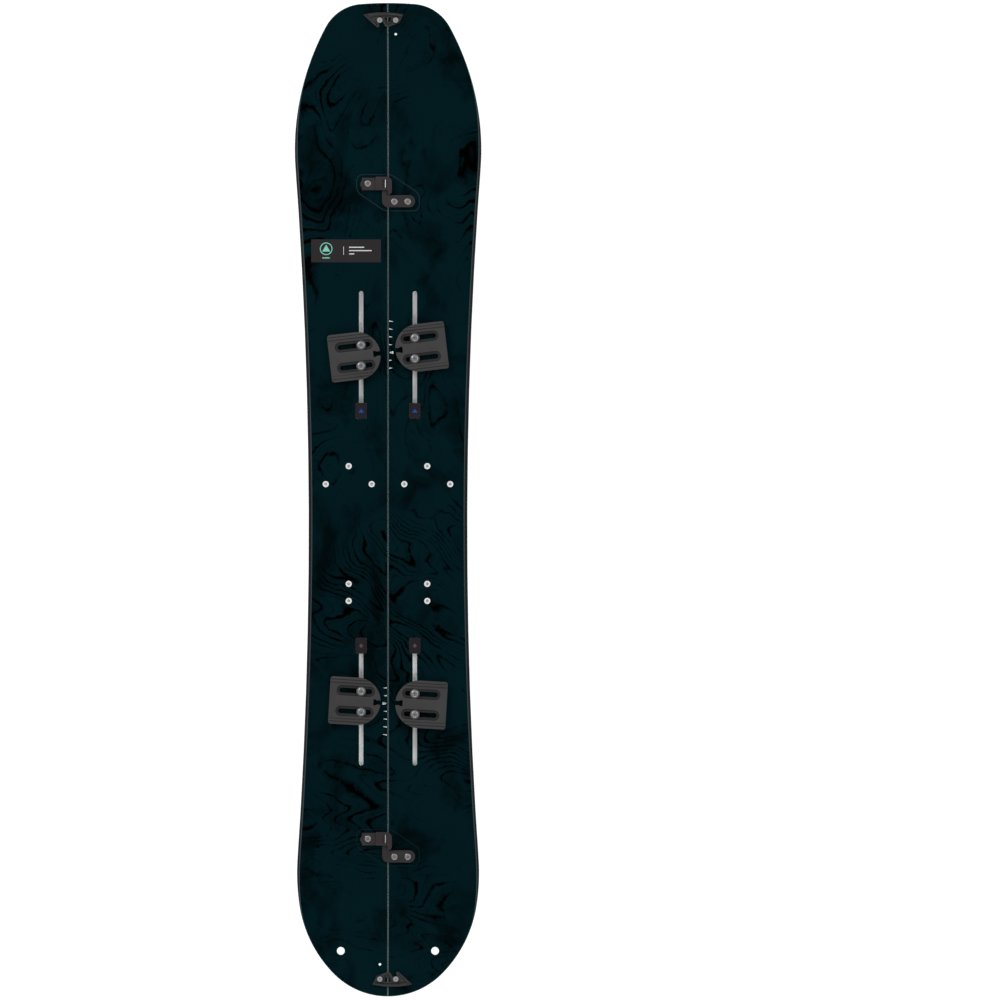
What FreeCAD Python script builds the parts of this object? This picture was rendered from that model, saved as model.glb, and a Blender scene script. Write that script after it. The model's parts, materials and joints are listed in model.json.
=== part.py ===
import FreeCAD, Part
import math
import os
import re

import Sketcher
from FreeCAD import Placement, Rotation, Vector

# Splitboard: two mirrored skis lie base down side by side, nose towards +Y, +Z up, +X to the rider's right.
# Millimetres throughout. The origin is the middle of the box at the level of the two contact lines.

DIMENSIONS = {
    # plan outline of the joined board: radius and turn of each tangent arc, from nose tip to tail tip
    "nose_face_radius": 563.9,
    "nose_face_turn": 4.37,
    "nose_corner_radius": 69.9,
    "nose_corner_turn": 56.65,
    "nose_flank_radius": 400.2,
    "nose_flank_turn": 33.22,
    "sidecut_radius": 7758.6,
    "sidecut_turn": 8.14,
    "tail_flank_radius": 342.3,
    "tail_flank_turn": 12.45,
    "tail_corner_radius": 193.8,
    "tail_corner_turn": 36.78,
    # side profile
    "nose_contact": 557,
    "tail_contact": -593,
    "camber_radius": 30000,
    "kick_radius": 480,
    "ramp_length": 80,
    "taper_start": 430,
    "taper_end": 700,
    # reach of cutting tools past the face they start from
    "skin_tool": 4,
    "board_tool": 40,
    # layers
    "base_layer": 1.4,
    "laminate_layer": 0.6,
    "topsheet_layer": 0.6,
    "core_middle": 5.4,
    "core_tip": 2.4,
    "seam_gap": 0.6,
    "edge_width": 2.2,
    "sidewall_width": 6.0,
    "seam_wall_width": 4.0,
    "bevel_width": 4.6,
    "seam_bevel": 1.2,
    "tip_rim": 1.0,
    "nose_bevel_end": 700,
    "tail_bevel_end": -700,
    # binding channels
    "channel_offset": 42.8,
    "front_channel_middle": 232.3,
    "rear_channel_middle": -322.5,
    "channel_length": 205.7,
    "channel_width": 17,
    "channel_height": 4.2,
    "channel_floor": 0.6,
    "channel_cavity": 13,
    "channel_cover": 1.45,
    "channel_end_wall": 2,
    "channel_play": 0.2,
    "slot_width": 6.9,
    "mouth_length": 25.5,
    "mouth_width": 18,
    "mouth_corner": 3.2,
    "plug_clearance": 0.15,
    "plug_proud": 0.1,
    # pucks
    "puck_thickness": 5,
    "puck_gap": 0.3,
    "puck_half_width": 37.9,
    "puck_outer": 50.8,
    "puck_arc_offset": 4.4,
    "puck_arc_flattening": 2.4,
    "puck_notch_mouth": 8.8,
    "puck_corner": 4.5,
    "puck_slot_pitch": 33,
    "puck_slot_outer": 35.8,
    "puck_slot_inner": 16.7,
    "puck_slot_width": 8.0,
    "puck_recess_width": 16.4,
    "puck_recess_depth": 1.2,
    "puck_ridge_inner": 29.5,
    "puck_ridge_height": 1.6,
    "puck_groove_inner": 32.9,
    "puck_groove_width": 1.0,
    "puck_undercut": 3.6,
    "puck_undercut_height": 2.0,
    "front_puck_angle": 6.7,
    "rear_puck_angle": -3.4,
    # puck fixings
    "washer_diameter": 15.2,
    "washer_thickness": 0.8,
    "puck_screw_head": 12,
    "puck_screw_head_height": 3.2,
    "puck_screw_dome": 2.2,
    "puck_screw_shank": 5.9,
    "channel_nut_height": 2.2,
    "channel_nut_clearance": 0.3,
    "channel_nut_side": 12,
    "cross_recess_width": 1.5,
    "cross_recess_span": 6.4,
    "cross_recess_depth": 1.8,
    # seam hooks
    "front_hook_middle": 490.1,
    "rear_hook_middle": -554.5,
    "hook_gap": 0.2,
    "hook_plate": 3.2,
    "hook_relief": 1.0,
    "hook_bridge_base": 3.8,
    "hook_bridge": 2.6,
    "hook_screw_head": 10.4,
    "hook_screw_head_height": 2.0,
    "hook_screw_dome": 1.2,
    "hook_screw_recess": 11.2,
    "hook_recess_depth": 1.4,
    "hook_screw_hole": 6.4,
    "insert_screw_core": 4.6,
    "screw_end_gap": 0.6,
    "lobe_recess_diameter": 3.6,
    "lobe_diameter": 1.3,
    "lobe_pitch_radius": 1.9,
    "lobe_recess_depth": 1.5,
    # inserts
    "insert_barrel": 10,
    "insert_flange": 16,
    "insert_flange_height": 0.8,
    "insert_height": 4.6,
    "insert_sunk": 0.1,
    "insert_hole": 5,
    "insert_hole_depth": 4.2,
    "bracket_offset": 62.6,
    "bracket_toe": 54.0,
    "bracket_pair": 25.3,
    "bracket_half_pitch": 36.6,
    "riser_front": -133.7,
    "riser_rear": -160.9,
    # tip clips
    "nose_clip_line": 764.7,
    "tail_clip_line": -763.9,
    "post_offset": 12.7,
    "clip_gap": 0.3,
    "clip_plate": 2.2,
    "clip_ridge": 0.6,
    "clip_ridge_width": 3.0,
    "post_shank": 3.4,
    "post_running_gap": 0.05,
    "post_notch_gap": 0.35,
    "post_passing_gap": 0.2,
    "post_head": 8.6,
    "post_head_base": 4.4,
    "post_head_height": 1.4,
    "post_recess": 2.6,
    "post_recess_depth": 0.8,
    "post_nut_outer": 7.3,
    "post_nut_bore": 3.8,
    "skin_hole": 4.4,
    "post_depth": 4.6,
    "spare_nut_setback": 25.4,
    # tail holes
    "tail_hole_line": -718.6,
    "tail_hole_offset": 75.1,
    "tail_hole_bore": 12.4,
    "tail_bush_outer": 15.4,
}

X_AXIS = Vector(1, 0, 0)
Z_AXIS = Vector(0, 0, 1)
SIDES = {"left": -1, "right": 1}
ENDS = ("front", "rear")
# middle of each puck along the board
PUCK_PLACES = {
    ("left", "front"): 230.3,
    ("right", "front"): 241.9,
    ("left", "rear"): -321.3,
    ("right", "rear"): -325.2,
}
# notch in a puck's arc, from its bottom out to its throat
PUCK_NOTCH = [(19.6, 4.8), (23.0, 4.8), (25.6, 3.3)]
# hook screws from the middle of their pair of hooks
HOOK_SCREWS = {"left": [(-32.2, 14.4)], "right": [(10.2, -14.4), (31.5, -14.4)]}

doc = FreeCAD.newDocument("splitboard")
sheet = doc.addObject("Spreadsheet::Sheet", "dims")
for row, (alias, value) in enumerate(DIMENSIONS.items(), start=1):
    sheet.set(f"A{row}", alias)
    sheet.set(f"B{row}", str(value))
    sheet.setAlias(f"B{row}", alias)
doc.recompute()

pieces = {}


def size(alias):
    return float(sheet.get(alias))


def bind(obj, prop, formula):
    """Bind a property to the sheet; words in the formula are aliases."""
    obj.setExpression(prop, re.sub(r"[a-z_]+", lambda word: "dims." + word.group(), formula))


def piece(name, obj):
    obj.Label = name
    pieces[name] = obj
    return obj


def shape_piece(name, shape):
    feature = doc.addObject("Part::Feature", name)
    feature.Shape = shape
    return piece(name, feature)


def group(name, members):
    compound = doc.addObject("Part::Compound", name)
    compound.Links = members
    return piece(name, compound)


def place(x=0.0, y=0.0, z=0.0, turn=0.0):
    return Placement(Vector(x, y, z), Rotation(Z_AXIS, turn))


# ---------------------------------------------------------------- primitives bound to the sheet


def cylinder(name, diameter, height, base="0", at=(0.0, 0.0)):
    obj = doc.addObject("Part::Cylinder", name)
    obj.Placement = place(*at)
    bind(obj, "Radius", f"({diameter}) / 2")
    bind(obj, "Height", height)
    bind(obj, "Placement.Base.z", base)
    return obj


def box(name, width, length, height, base="0", along="0"):
    """Box centred on its own Z axis, shifted along Y."""
    obj = doc.addObject("Part::Box", name)
    bind(obj, "Length", width)
    bind(obj, "Width", length)
    bind(obj, "Height", height)
    bind(obj, "Placement.Base.x", f"-({width}) / 2")
    bind(obj, "Placement.Base.y", f"{along} - ({length}) / 2")
    bind(obj, "Placement.Base.z", base)
    return obj


def fuse(name, members):
    obj = doc.addObject("Part::MultiFuse", name)
    obj.Shapes = members
    return obj


def is_upright(edge, solid):
    return abs(edge.tangentAt(edge.FirstParameter).z) > 0.99


def is_top_rim(edge, solid):
    return edge.BoundBox.ZMin > solid.BoundBox.ZMax - 1e-6


def rounded(name, base, radius, wanted):
    """Fillet on every edge of the base that the test picks."""
    doc.recompute()
    solid = base.Shape
    obj = doc.addObject("Part::Fillet", name)
    obj.Base = base
    obj.Edges = [(index, radius, radius) for index, edge in enumerate(solid.Edges, 1) if wanted(edge, solid)]
    return obj


def cut(name, base, tool):
    obj = doc.addObject("Part::Cut", name)
    obj.Base = base
    obj.Tool = tool
    return obj


# ---------------------------------------------------------------- sketched plates


def line(a, b):
    return Part.LineSegment(Vector(*a, 0), Vector(*b, 0))


def arc(a, middle, b):
    return Part.Arc(Vector(*a, 0), Vector(*middle, 0), Vector(*b, 0))


def polyline(points):
    return [line(a, b) for a, b in zip(points, points[1:] + points[:1])]


def rectangle(left, low, right, high):
    return polyline([(left, low), (right, low), (right, high), (left, high)])


def round_slot(left, right, middle, radius):
    """Outline of a slot along X between two end-to-end limits."""
    near = left + radius
    far = right - radius
    return [
        line((near, middle - radius), (far, middle - radius)),
        arc((far, middle - radius), (right, middle), (far, middle + radius)),
        line((far, middle + radius), (near, middle + radius)),
        arc((near, middle + radius), (left, middle), (near, middle - radius)),
    ]


def mirrored_profile(profile):
    """The same closed outline turned over the X axis."""
    turned = []
    for curve in profile:
        copy = curve.copy()
        copy.rotate(Placement(Vector(), Rotation(X_AXIS, 180)))
        turned.append(copy)
    return turned


def sketch(body, name, profiles, height="0"):
    plane = next(feature for feature in body.Origin.OriginFeatures if feature.Role == "XY_Plane")
    obj = body.newObject("Sketcher::SketchObject", name)
    obj.AttachmentSupport = [(plane, "")]
    obj.MapMode = "FlatFace"
    bind(obj, "AttachmentOffset.Base.z", height)
    for profile in profiles:
        for curve in profile:
            obj.addGeometry(curve, False)
    return obj


def round_sketch(body, name, centres, diameter, height="0"):
    """Circles whose radius follows the sheet."""
    obj = sketch(body, name, [], height)
    for x, y in centres:
        index = obj.addGeometry(Part.Circle(Vector(x, y, 0), Z_AXIS, size(diameter) / 2), False)
        radius = obj.addConstraint(Sketcher.Constraint("Radius", index, size(diameter) / 2))
        bind(obj, f"Constraints[{radius}]", f"{diameter} / 2")
    return obj


def pad(body, drawing, length):
    obj = body.newObject("PartDesign::Pad", drawing.Name + "_pad")
    obj.Profile = drawing
    bind(obj, "Length", length)
    return obj


def pocket(body, drawing, length, upwards=False):
    obj = body.newObject("PartDesign::Pocket", drawing.Name + "_pocket")
    obj.Profile = drawing
    obj.Reversed = upwards
    bind(obj, "Length", length)
    return obj


# ---------------------------------------------------------------- side profile of the board


def profile_middle():
    return (size("nose_contact") + size("tail_contact")) / 2


def kick(contact, y):
    """Height and slope of the base on an upturned tip, above the kick arc's lowest point."""
    direction = math.copysign(1, contact - profile_middle())
    reach = abs(contact - profile_middle())
    radius = size("kick_radius")
    lowest = abs(contact) + radius * reach / size("camber_radius")
    ramp_start = outline_length() / 2 - size("ramp_length")
    distance = min(direction * y, ramp_start) - lowest
    rise = radius - math.sqrt(radius**2 - distance**2)
    slope = distance / math.sqrt(radius**2 - distance**2)
    return rise + slope * max(0, direction * y - ramp_start)


def base_height(y):
    """Height of the running surface above the contact lines."""
    if y > size("nose_contact"):
        return kick(size("nose_contact"), y)
    if y < size("tail_contact"):
        return kick(size("tail_contact"), y)
    radius = size("camber_radius")
    reach = size("nose_contact") - profile_middle()
    end_height = kick(size("nose_contact"), size("nose_contact"))
    arch = math.sqrt(radius**2 - (y - profile_middle()) ** 2) - math.sqrt(radius**2 - reach**2)
    return end_height + arch


def core_height(y):
    """Thickness of the core, eased from the middle value to the tip value."""
    span = size("taper_end") - size("taper_start")
    share = min(max((abs(y) - size("taper_start")) / span, 0), 1)
    ease = (1 + math.cos(math.pi * share)) / 2
    return size("core_tip") + (size("core_middle") - size("core_tip")) * ease


LEVELS = ("floor", "base", "lower_laminate", "core", "upper_laminate", "topsheet")


def level_height(level, y):
    """Height of the upper face of a layer; 'floor' is the running surface itself."""
    layers = {
        "floor": 0,
        "base": size("base_layer"),
        "lower_laminate": size("laminate_layer"),
        "core": core_height(y),
        "upper_laminate": size("laminate_layer"),
        "topsheet": size("topsheet_layer"),
    }
    below = LEVELS[: LEVELS.index(level) + 1]
    return base_height(y) + sum(layers[name] for name in below)


def top_height(y):
    return level_height("topsheet", y)


def spaced(start, end, count):
    return [start + (end - start) * step / count for step in range(count)]


def profile_stations():
    """Places along the board where one arc of the side profile hands over to the next."""
    tip = outline_length() / 2
    ramp = tip - size("ramp_length")
    margin = 5
    return (
        [-tip - margin]
        + spaced(-ramp, size("tail_contact"), 4)
        + spaced(size("tail_contact"), size("nose_contact"), 12)
        + spaced(size("nose_contact"), ramp, 5)
        + [ramp, tip + margin]
    )


def profile_curve(level):
    """Edges of one level in the plane x = 0, from tail to nose; the two ramps are straight."""
    stations = profile_stations()
    edges = []
    for start, end in zip(stations, stations[1:]):
        points = [Vector(0, y, level_height(level, y)) for y in (start, (start + end) / 2, end)]
        straight = start == stations[0] or end == stations[-1]
        curve = Part.LineSegment(points[0], points[2]) if straight else Part.Arc(*points)
        edges.append(curve.toShape())
    return edges


def slab(low, high):
    """Everything between two levels, for the ski on the +X side."""
    lower = profile_curve(low)
    upper = profile_curve(high)
    ends = []
    for index in (0, -1):
        y = profile_stations()[index]
        foot = Vector(0, y, level_height(low, y))
        head = Vector(0, y, level_height(high, y))
        ends.append(Part.LineSegment(foot, head).toShape())
    wire = Part.Wire(Part.__sortEdges__(lower + upper + ends))
    width = size("nose_flank_radius") / 2
    return Part.Face(wire).extrude(Vector(width, 0, 0))


# ---------------------------------------------------------------- plan outline of the board


def outline_turns():
    """Radius and turn of each arc but the last; the sidecut turns the other way."""
    names = ("nose_face", "nose_corner", "nose_flank", "sidecut", "tail_flank", "tail_corner")
    turns = []
    for name in names:
        sign = -1 if name == "sidecut" else 1
        turns.append((sign * size(name + "_radius"), math.radians(size(name + "_turn"))))
    return turns


def outline_arcs(inset):
    """Arcs of the +X half from the nose tip at y = 0 to the seam at the tail, moved inwards by inset."""
    point = Vector(0, -inset, 0)
    turned = 0.0
    arcs = []
    turns = outline_turns() + [(None, None)]
    for radius, turn in turns:
        if radius is None:
            turn = math.pi - turned
            reach = point.x / math.sin(turned)
            sign = 1
        else:
            sign = math.copysign(1, radius)
            reach = abs(radius) - sign * inset
        outward = Vector(math.sin(turned), math.cos(turned), 0) * sign
        centre = point - outward * reach
        ends = []
        for share in (0.5, 1.0):
            heading = turned + sign * turn * share
            ends.append(centre + Vector(math.sin(heading), math.cos(heading), 0) * sign * reach)
        arcs.append(Part.Arc(point, ends[0], ends[1]))
        point = ends[1]
        turned += sign * turn
    return arcs


def outline_length():
    return -outline_arcs(0)[-1].EndPoint.y


def prism(inset, seam_inset):
    """Upright solid inside the +X half outline, clear of the seam by seam_inset."""
    edges = [curve.toShape() for curve in outline_arcs(inset)]
    start = edges[0].Vertexes[0].Point
    end = edges[-1].Vertexes[-1].Point
    wire = Part.Wire(edges + [Part.LineSegment(end, start).toShape()])
    depth = size("kick_radius")
    solid = Part.Face(wire).extrude(Vector(0, 0, depth))
    solid.translate(Vector(0, outline_length() / 2, -depth / 2))
    keep = Part.makeBox(depth, 2 * outline_length(), depth, Vector(seam_inset, -outline_length(), -depth / 2))
    return solid.common(keep)


def top_outline():
    """Plan of the topsheet: set back over the bevelled sides, nearly full width at the tips."""
    seam = size("seam_gap") / 2 + size("seam_bevel")
    sides = prism(size("bevel_width"), seam)
    tips = prism(size("tip_rim"), seam)
    depth = size("kick_radius")
    bevelled = size("nose_bevel_end") - size("tail_bevel_end")
    middle = Part.makeBox(depth, bevelled, depth, Vector(0, size("tail_bevel_end"), -depth / 2))
    return sides.fuse(tips.cut(middle)).removeSplitter()


# ---------------------------------------------------------------- frames on the top surface


def surface_frame(x, y, turn=0.0):
    """Frame on the top surface with Z along the surface normal, turned about that normal."""
    slope = math.degrees(math.atan2(top_height(y + 1) - top_height(y - 1), 2))
    return Placement(Vector(x, y, top_height(y)), Rotation(X_AXIS, slope)) * place(turn=turn)


def clip_frame(tip):
    turn = 180 if tip == "tail" else 0
    return surface_frame(0, size(tip + "_clip_line"), turn)


def channel_frame(side, end):
    return surface_frame(SIDES[side] * size("channel_offset"), size(end + "_channel_middle"))


def hook_frame(end):
    return surface_frame(0, size(end + "_hook_middle"))


def mouth_direction(end):
    """The wide mouth is at the end of the channel nearer the waist."""
    return -1 if end == "front" else 1


def mouth_middle(end):
    return mouth_direction(end) * (size("channel_length") - size("mouth_length")) / 2


def insert_places(side):
    """Top-surface positions of every insert of one ski."""
    sign = SIDES[side]
    offset = size("bracket_offset")
    places = [(sign * offset, size("bracket_toe"))]
    for step in (-1, 1):
        places.append((sign * offset + step * size("bracket_half_pitch"), size("bracket_pair")))
    places.append((sign * offset, size("riser_front")))
    places.append((sign * offset, size("riser_rear")))
    for end in ENDS:
        for x, y in HOOK_SCREWS[side]:
            places.append((x, size(end + "_hook_middle") + y))
    return places


def nut_places(side):
    """Clip frame and offset of each post nut; the pivot side carries the spare."""
    pivot_tip = "nose" if side == "right" else "tail"
    catch_tip = "tail" if side == "right" else "nose"
    offset = size("post_offset")
    return [
        (clip_frame(pivot_tip), offset, 0),
        (clip_frame(pivot_tip), offset, -size("spare_nut_setback")),
        (clip_frame(catch_tip), -offset, 0),
    ]


# ---------------------------------------------------------------- layers of the skis


def channel_cutters(side, end):
    """Pocket for the rail, open at the top of the core, and the slot and mouth through the skins above it."""
    frame = channel_frame(side, end)
    width = size("channel_width")
    length = size("channel_length")
    height = size("channel_height")
    cover = size("channel_cover")
    foot = Vector(-width / 2, -length / 2, -cover - height)
    rail = Part.makeBox(width, length, height + cover, foot)
    slot_radius = size("slot_width") / 2
    tool = size("skin_tool")
    outer = -mouth_direction(end) * (length / 2 - size("channel_end_wall") - slot_radius)
    inner = mouth_middle(end)
    low = min(outer, inner)
    slot = Part.makeBox(2 * slot_radius, abs(outer - inner), tool, Vector(-slot_radius, low, -cover))
    round_end = Part.makeCylinder(slot_radius, tool, Vector(0, outer, -cover))
    mouth_width = size("mouth_width")
    mouth_length = size("mouth_length")
    corner = Vector(-mouth_width / 2, inner - mouth_length / 2, -cover)
    mouth = Part.makeBox(mouth_width, mouth_length, tool, corner)
    upright = [edge for edge in mouth.Edges if is_upright(edge, mouth)]
    mouth = mouth.makeFillet(size("mouth_corner"), upright)
    opening = slot.fuse([round_end, mouth]).removeSplitter()
    rail.Placement = frame
    opening.Placement = frame
    return rail, opening


def insert_cutter(x, y):
    top = top_height(y)
    foot = top - size("insert_sunk") - size("insert_height")
    barrel = Part.makeCylinder(size("insert_barrel") / 2, size("board_tool"), Vector(x, y, foot))
    flange = Part.makeCylinder(size("insert_flange") / 2, size("insert_flange_height"), Vector(x, y, foot))
    return barrel.fuse(flange)


def through_cutter(frame, offset, setback, diameter):
    reach = size("board_tool")
    tool = Part.makeCylinder(diameter / 2, 2 * reach, Vector(offset, setback, -reach))
    tool.Placement = frame
    return tool


def tail_hole(side, diameter):
    centre = Vector(SIDES[side] * size("tail_hole_offset"), size("tail_hole_line"), 0)
    return Part.makeCylinder(diameter / 2, 2 * size("board_tool"), centre)


def make_ski(side):
    """Seven layers of one ski with every pocket cut in them."""
    gap = size("seam_gap") / 2
    edge = size("edge_width")
    wall = size("sidewall_width")
    seam_wall = gap + size("seam_wall_width")
    whole = prism(0, gap)
    inside_edge = prism(edge, gap + edge)
    inside_wall = prism(wall, seam_wall)
    bevelled = top_outline()
    core_slab = slab("lower_laminate", "core")
    blanks = {
        "base": slab("floor", "base").common(inside_edge),
        "steel_edge": slab("floor", "base").common(whole).cut(inside_edge),
        "lower_laminate": slab("base", "lower_laminate").common(whole),
        "core": core_slab.common(inside_wall),
        "sidewalls": core_slab.common(whole).cut(inside_wall),
        "upper_laminate": slab("core", "upper_laminate").common(bevelled),
        "topsheet": slab("upper_laminate", "topsheet").common(bevelled),
    }
    rails = []
    openings = []
    for end in ENDS:
        rail, opening = channel_cutters(side, end)
        rails.append(rail)
        openings.append(opening)
    inserts = [insert_cutter(x, y) for x, y in insert_places(side)]
    nuts = [through_cutter(*where, size("post_nut_outer")) for where in nut_places(side)]
    bush = [tail_hole(side, size("tail_bush_outer"))]
    skin_holes = [through_cutter(*where, size("skin_hole")) for where in nut_places(side)]
    skin_holes.append(tail_hole(side, size("tail_hole_bore")))
    cutters = {
        "base": nuts + bush,
        "steel_edge": [],
        "lower_laminate": nuts + bush,
        "core": nuts + bush + inserts + rails + openings,
        "sidewalls": inserts,
        "upper_laminate": nuts + bush + inserts + openings,
        "topsheet": skin_holes + inserts + openings,
    }
    for layer, blank in blanks.items():
        shape = blank if side == "right" else blank.mirror(Vector(), X_AXIS)
        if cutters[layer]:
            shape = shape.cut(cutters[layer])
        shape_piece(f"{side}_{layer}", shape)


# ---------------------------------------------------------------- channels, plugs, inserts, bushes


def make_channel(side, end):
    """Metal rail let into the core: box section, slotted top, open mouth at the waist end."""
    prefix = f"{side}_{end}_channel"
    low = "-channel_cover - channel_height"
    blank = box(prefix + "_blank", "channel_width", "channel_length", "channel_height", low)
    cavity = box(
        prefix + "_cavity", "channel_cavity", "channel_length - 2 * channel_end_wall",
        "channel_height - 2 * channel_floor - channel_play", low + " + channel_floor",
    )
    slot = box(
        prefix + "_slot", "slot_width", "channel_length - 2 * channel_end_wall", "channel_height",
        low + " + channel_floor",
    )
    mouth = box(
        prefix + "_mouth", "channel_cavity", "mouth_length - 2 * channel_end_wall", "channel_height",
        low + " + channel_floor",
        f"{mouth_direction(end)} * (channel_length - mouth_length) / 2",
    )
    rail = cut(prefix + "_rail", blank, fuse(prefix + "_hollow", [cavity, slot, mouth]))
    rail.Placement = channel_frame(side, end)
    piece(prefix, rail)


def make_plug(side, end):
    """Plug with a lid in the mouth of the skins and a tongue in the mouth of the rail."""
    prefix = f"{side}_{end}_plug"
    along = f"{mouth_direction(end)} * (channel_length - mouth_length) / 2"
    lid = box(
        prefix + "_lid", "mouth_width - 2 * plug_clearance", "mouth_length - 2 * plug_clearance",
        "channel_cover + plug_proud", "-channel_cover", along,
    )
    tongue = box(
        prefix + "_tongue", "channel_cavity - 2 * plug_clearance",
        "mouth_length - 2 * channel_end_wall - 2 * plug_clearance",
        "channel_height - channel_floor - channel_play",
        "-channel_cover - channel_height + channel_floor + channel_play", along,
    )
    corner = size("mouth_corner") - size("plug_clearance")
    plug = fuse(prefix, [rounded(prefix + "_rounded", lid, corner, is_upright), tongue])
    plug.Placement = channel_frame(side, end)
    piece(prefix, plug)


def make_inserts(side):
    """Flanged, blind threaded inserts, upright in the core."""
    members = []
    for number, (x, y) in enumerate(insert_places(side), start=1):
        name = f"{side}_insert_{number}"
        barrel = cylinder(name + "_barrel", "insert_barrel", "insert_height")
        flange = cylinder(name + "_flange", "insert_flange", "insert_flange_height")
        hole = cylinder(name + "_hole", "insert_hole", "insert_height", "insert_height - insert_hole_depth")
        insert = cut(name, fuse(name + "_body", [barrel, flange]), hole)
        insert.Placement = place(x, y, top_height(y) - size("insert_sunk") - size("insert_height"))
        members.append(insert)
    group(f"{side}_inserts", members)


def make_tail_bush(side):
    """Bush from the base to the underside of the topsheet."""
    tube = tail_hole(side, size("tail_bush_outer")).cut(tail_hole(side, size("tail_hole_bore")))
    board = slab("floor", "upper_laminate")
    if side == "left":
        board = board.mirror(Vector(), X_AXIS)
    shape_piece(f"{side}_tail_bush", tube.common(board))


def make_post_nuts(side):
    """Plain sleeves from the base to the underside of the topsheet."""
    board = slab("floor", "upper_laminate")
    if side == "left":
        board = board.mirror(Vector(), X_AXIS)
    sleeves = []
    for where in nut_places(side):
        outer = through_cutter(*where, size("post_nut_outer"))
        sleeves.append(outer.cut(through_cutter(*where, size("post_nut_bore"))).common(board))
    shape_piece(f"{side}_post_nuts", Part.makeCompound(sleeves))


# ---------------------------------------------------------------- pucks and their fixings


def puck_outline():
    half = size("puck_half_width")
    outer = -size("puck_outer")
    corner = size("puck_corner")
    start = -size("puck_arc_offset")
    inner = corner * (1 - math.sqrt(0.5))
    return [
        line((start, -half), (outer + corner, -half)),
        arc((outer + corner, -half), (outer + inner, -half + inner), (outer, -half + corner)),
        line((outer, -half + corner), (outer, half - corner)),
        arc((outer, half - corner), (outer + inner, half - inner), (outer + corner, half)),
        line((outer + corner, half), (start, half)),
        arc((start, half), (start + half - size("puck_arc_flattening"), 0), (start, -half)),
    ]


def puck_ridge():
    """Raised flange strip along the +Y edge, inside the outline."""
    half = size("puck_half_width")
    outer = -size("puck_outer")
    corner = size("puck_corner")
    start = -size("puck_arc_offset")
    low = size("puck_ridge_inner")
    bend = corner * (1 - math.sqrt(0.5))
    bulge = half - size("puck_arc_flattening")
    radius = (half**2 + bulge**2) / (2 * bulge)
    centre = start + bulge - radius
    first = math.asin(low / radius)
    middle = (first + math.asin(half / radius)) / 2
    reach = centre + radius * math.cos(first)
    return [
        line((outer, low), (reach, low)),
        arc((reach, low), (centre + radius * math.cos(middle), radius * math.sin(middle)), (start, half)),
        line((start, half), (outer + corner, half)),
        arc((outer + corner, half), (outer + bend, half - bend), (outer, half - corner)),
        line((outer, half - corner), (outer, low)),
    ]


def make_puck(side, end):
    """Half-round plate with two slots for its screws, a dovetail notch and two ridged, undercut flanges."""
    name = f"{side}_{end}_puck"
    body = doc.addObject("PartDesign::Body", name)
    half = size("puck_half_width")
    outer = -size("puck_outer")
    pitch = size("puck_slot_pitch") / 2
    pad(body, sketch(body, name + "_outline", [puck_outline()]), "puck_thickness")
    ridges = [puck_ridge(), mirrored_profile(puck_ridge())]
    pad(body, sketch(body, name + "_ridges", ridges, "puck_thickness"), "puck_ridge_height")
    slots = []
    recesses = []
    for middle in (-pitch, pitch):
        radius = size("puck_slot_width") / 2
        grow = size("puck_recess_width") / 2 - radius
        left = -size("puck_slot_outer")
        right = size("puck_slot_inner")
        slots.append(round_slot(left, right, middle, radius))
        recesses.append(round_slot(left - grow, right + grow, middle, radius + grow))
    pocket(body, sketch(body, name + "_recesses", recesses, "puck_thickness"), "puck_recess_depth")
    pocket(body, sketch(body, name + "_slots", slots, "puck_thickness"), "puck_thickness")
    groove_low = size("puck_groove_inner")
    groove_high = groove_low + size("puck_groove_width")
    grooves = [
        rectangle(outer - 1, groove_low, half, groove_high),
        rectangle(outer - 1, -groove_high, half, -groove_low),
    ]
    top = "puck_thickness + puck_ridge_height"
    pocket(body, sketch(body, name + "_grooves", grooves, top), "puck_groove_width")
    right_half = PUCK_NOTCH + [(half, size("puck_notch_mouth") / 2)]
    notch = polyline([(x, -y) for x, y in right_half] + right_half[::-1])
    pocket(body, sketch(body, name + "_notch", [notch], "puck_thickness"), "puck_thickness")
    under = half - size("puck_undercut")
    undercuts = [
        rectangle(outer - 1, under, half, half + 1),
        rectangle(outer - 1, -half - 1, half, -under),
    ]
    pocket(body, sketch(body, name + "_undercut", undercuts), "puck_undercut_height", upwards=True)
    turn = size(end + "_puck_angle") + (180 if side == "right" else 0)
    along = PUCK_PLACES[side, end] - size(end + "_channel_middle")
    body.Placement = channel_frame(side, end) * place(0, along, size("puck_gap"), turn)
    piece(name, body)


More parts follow.
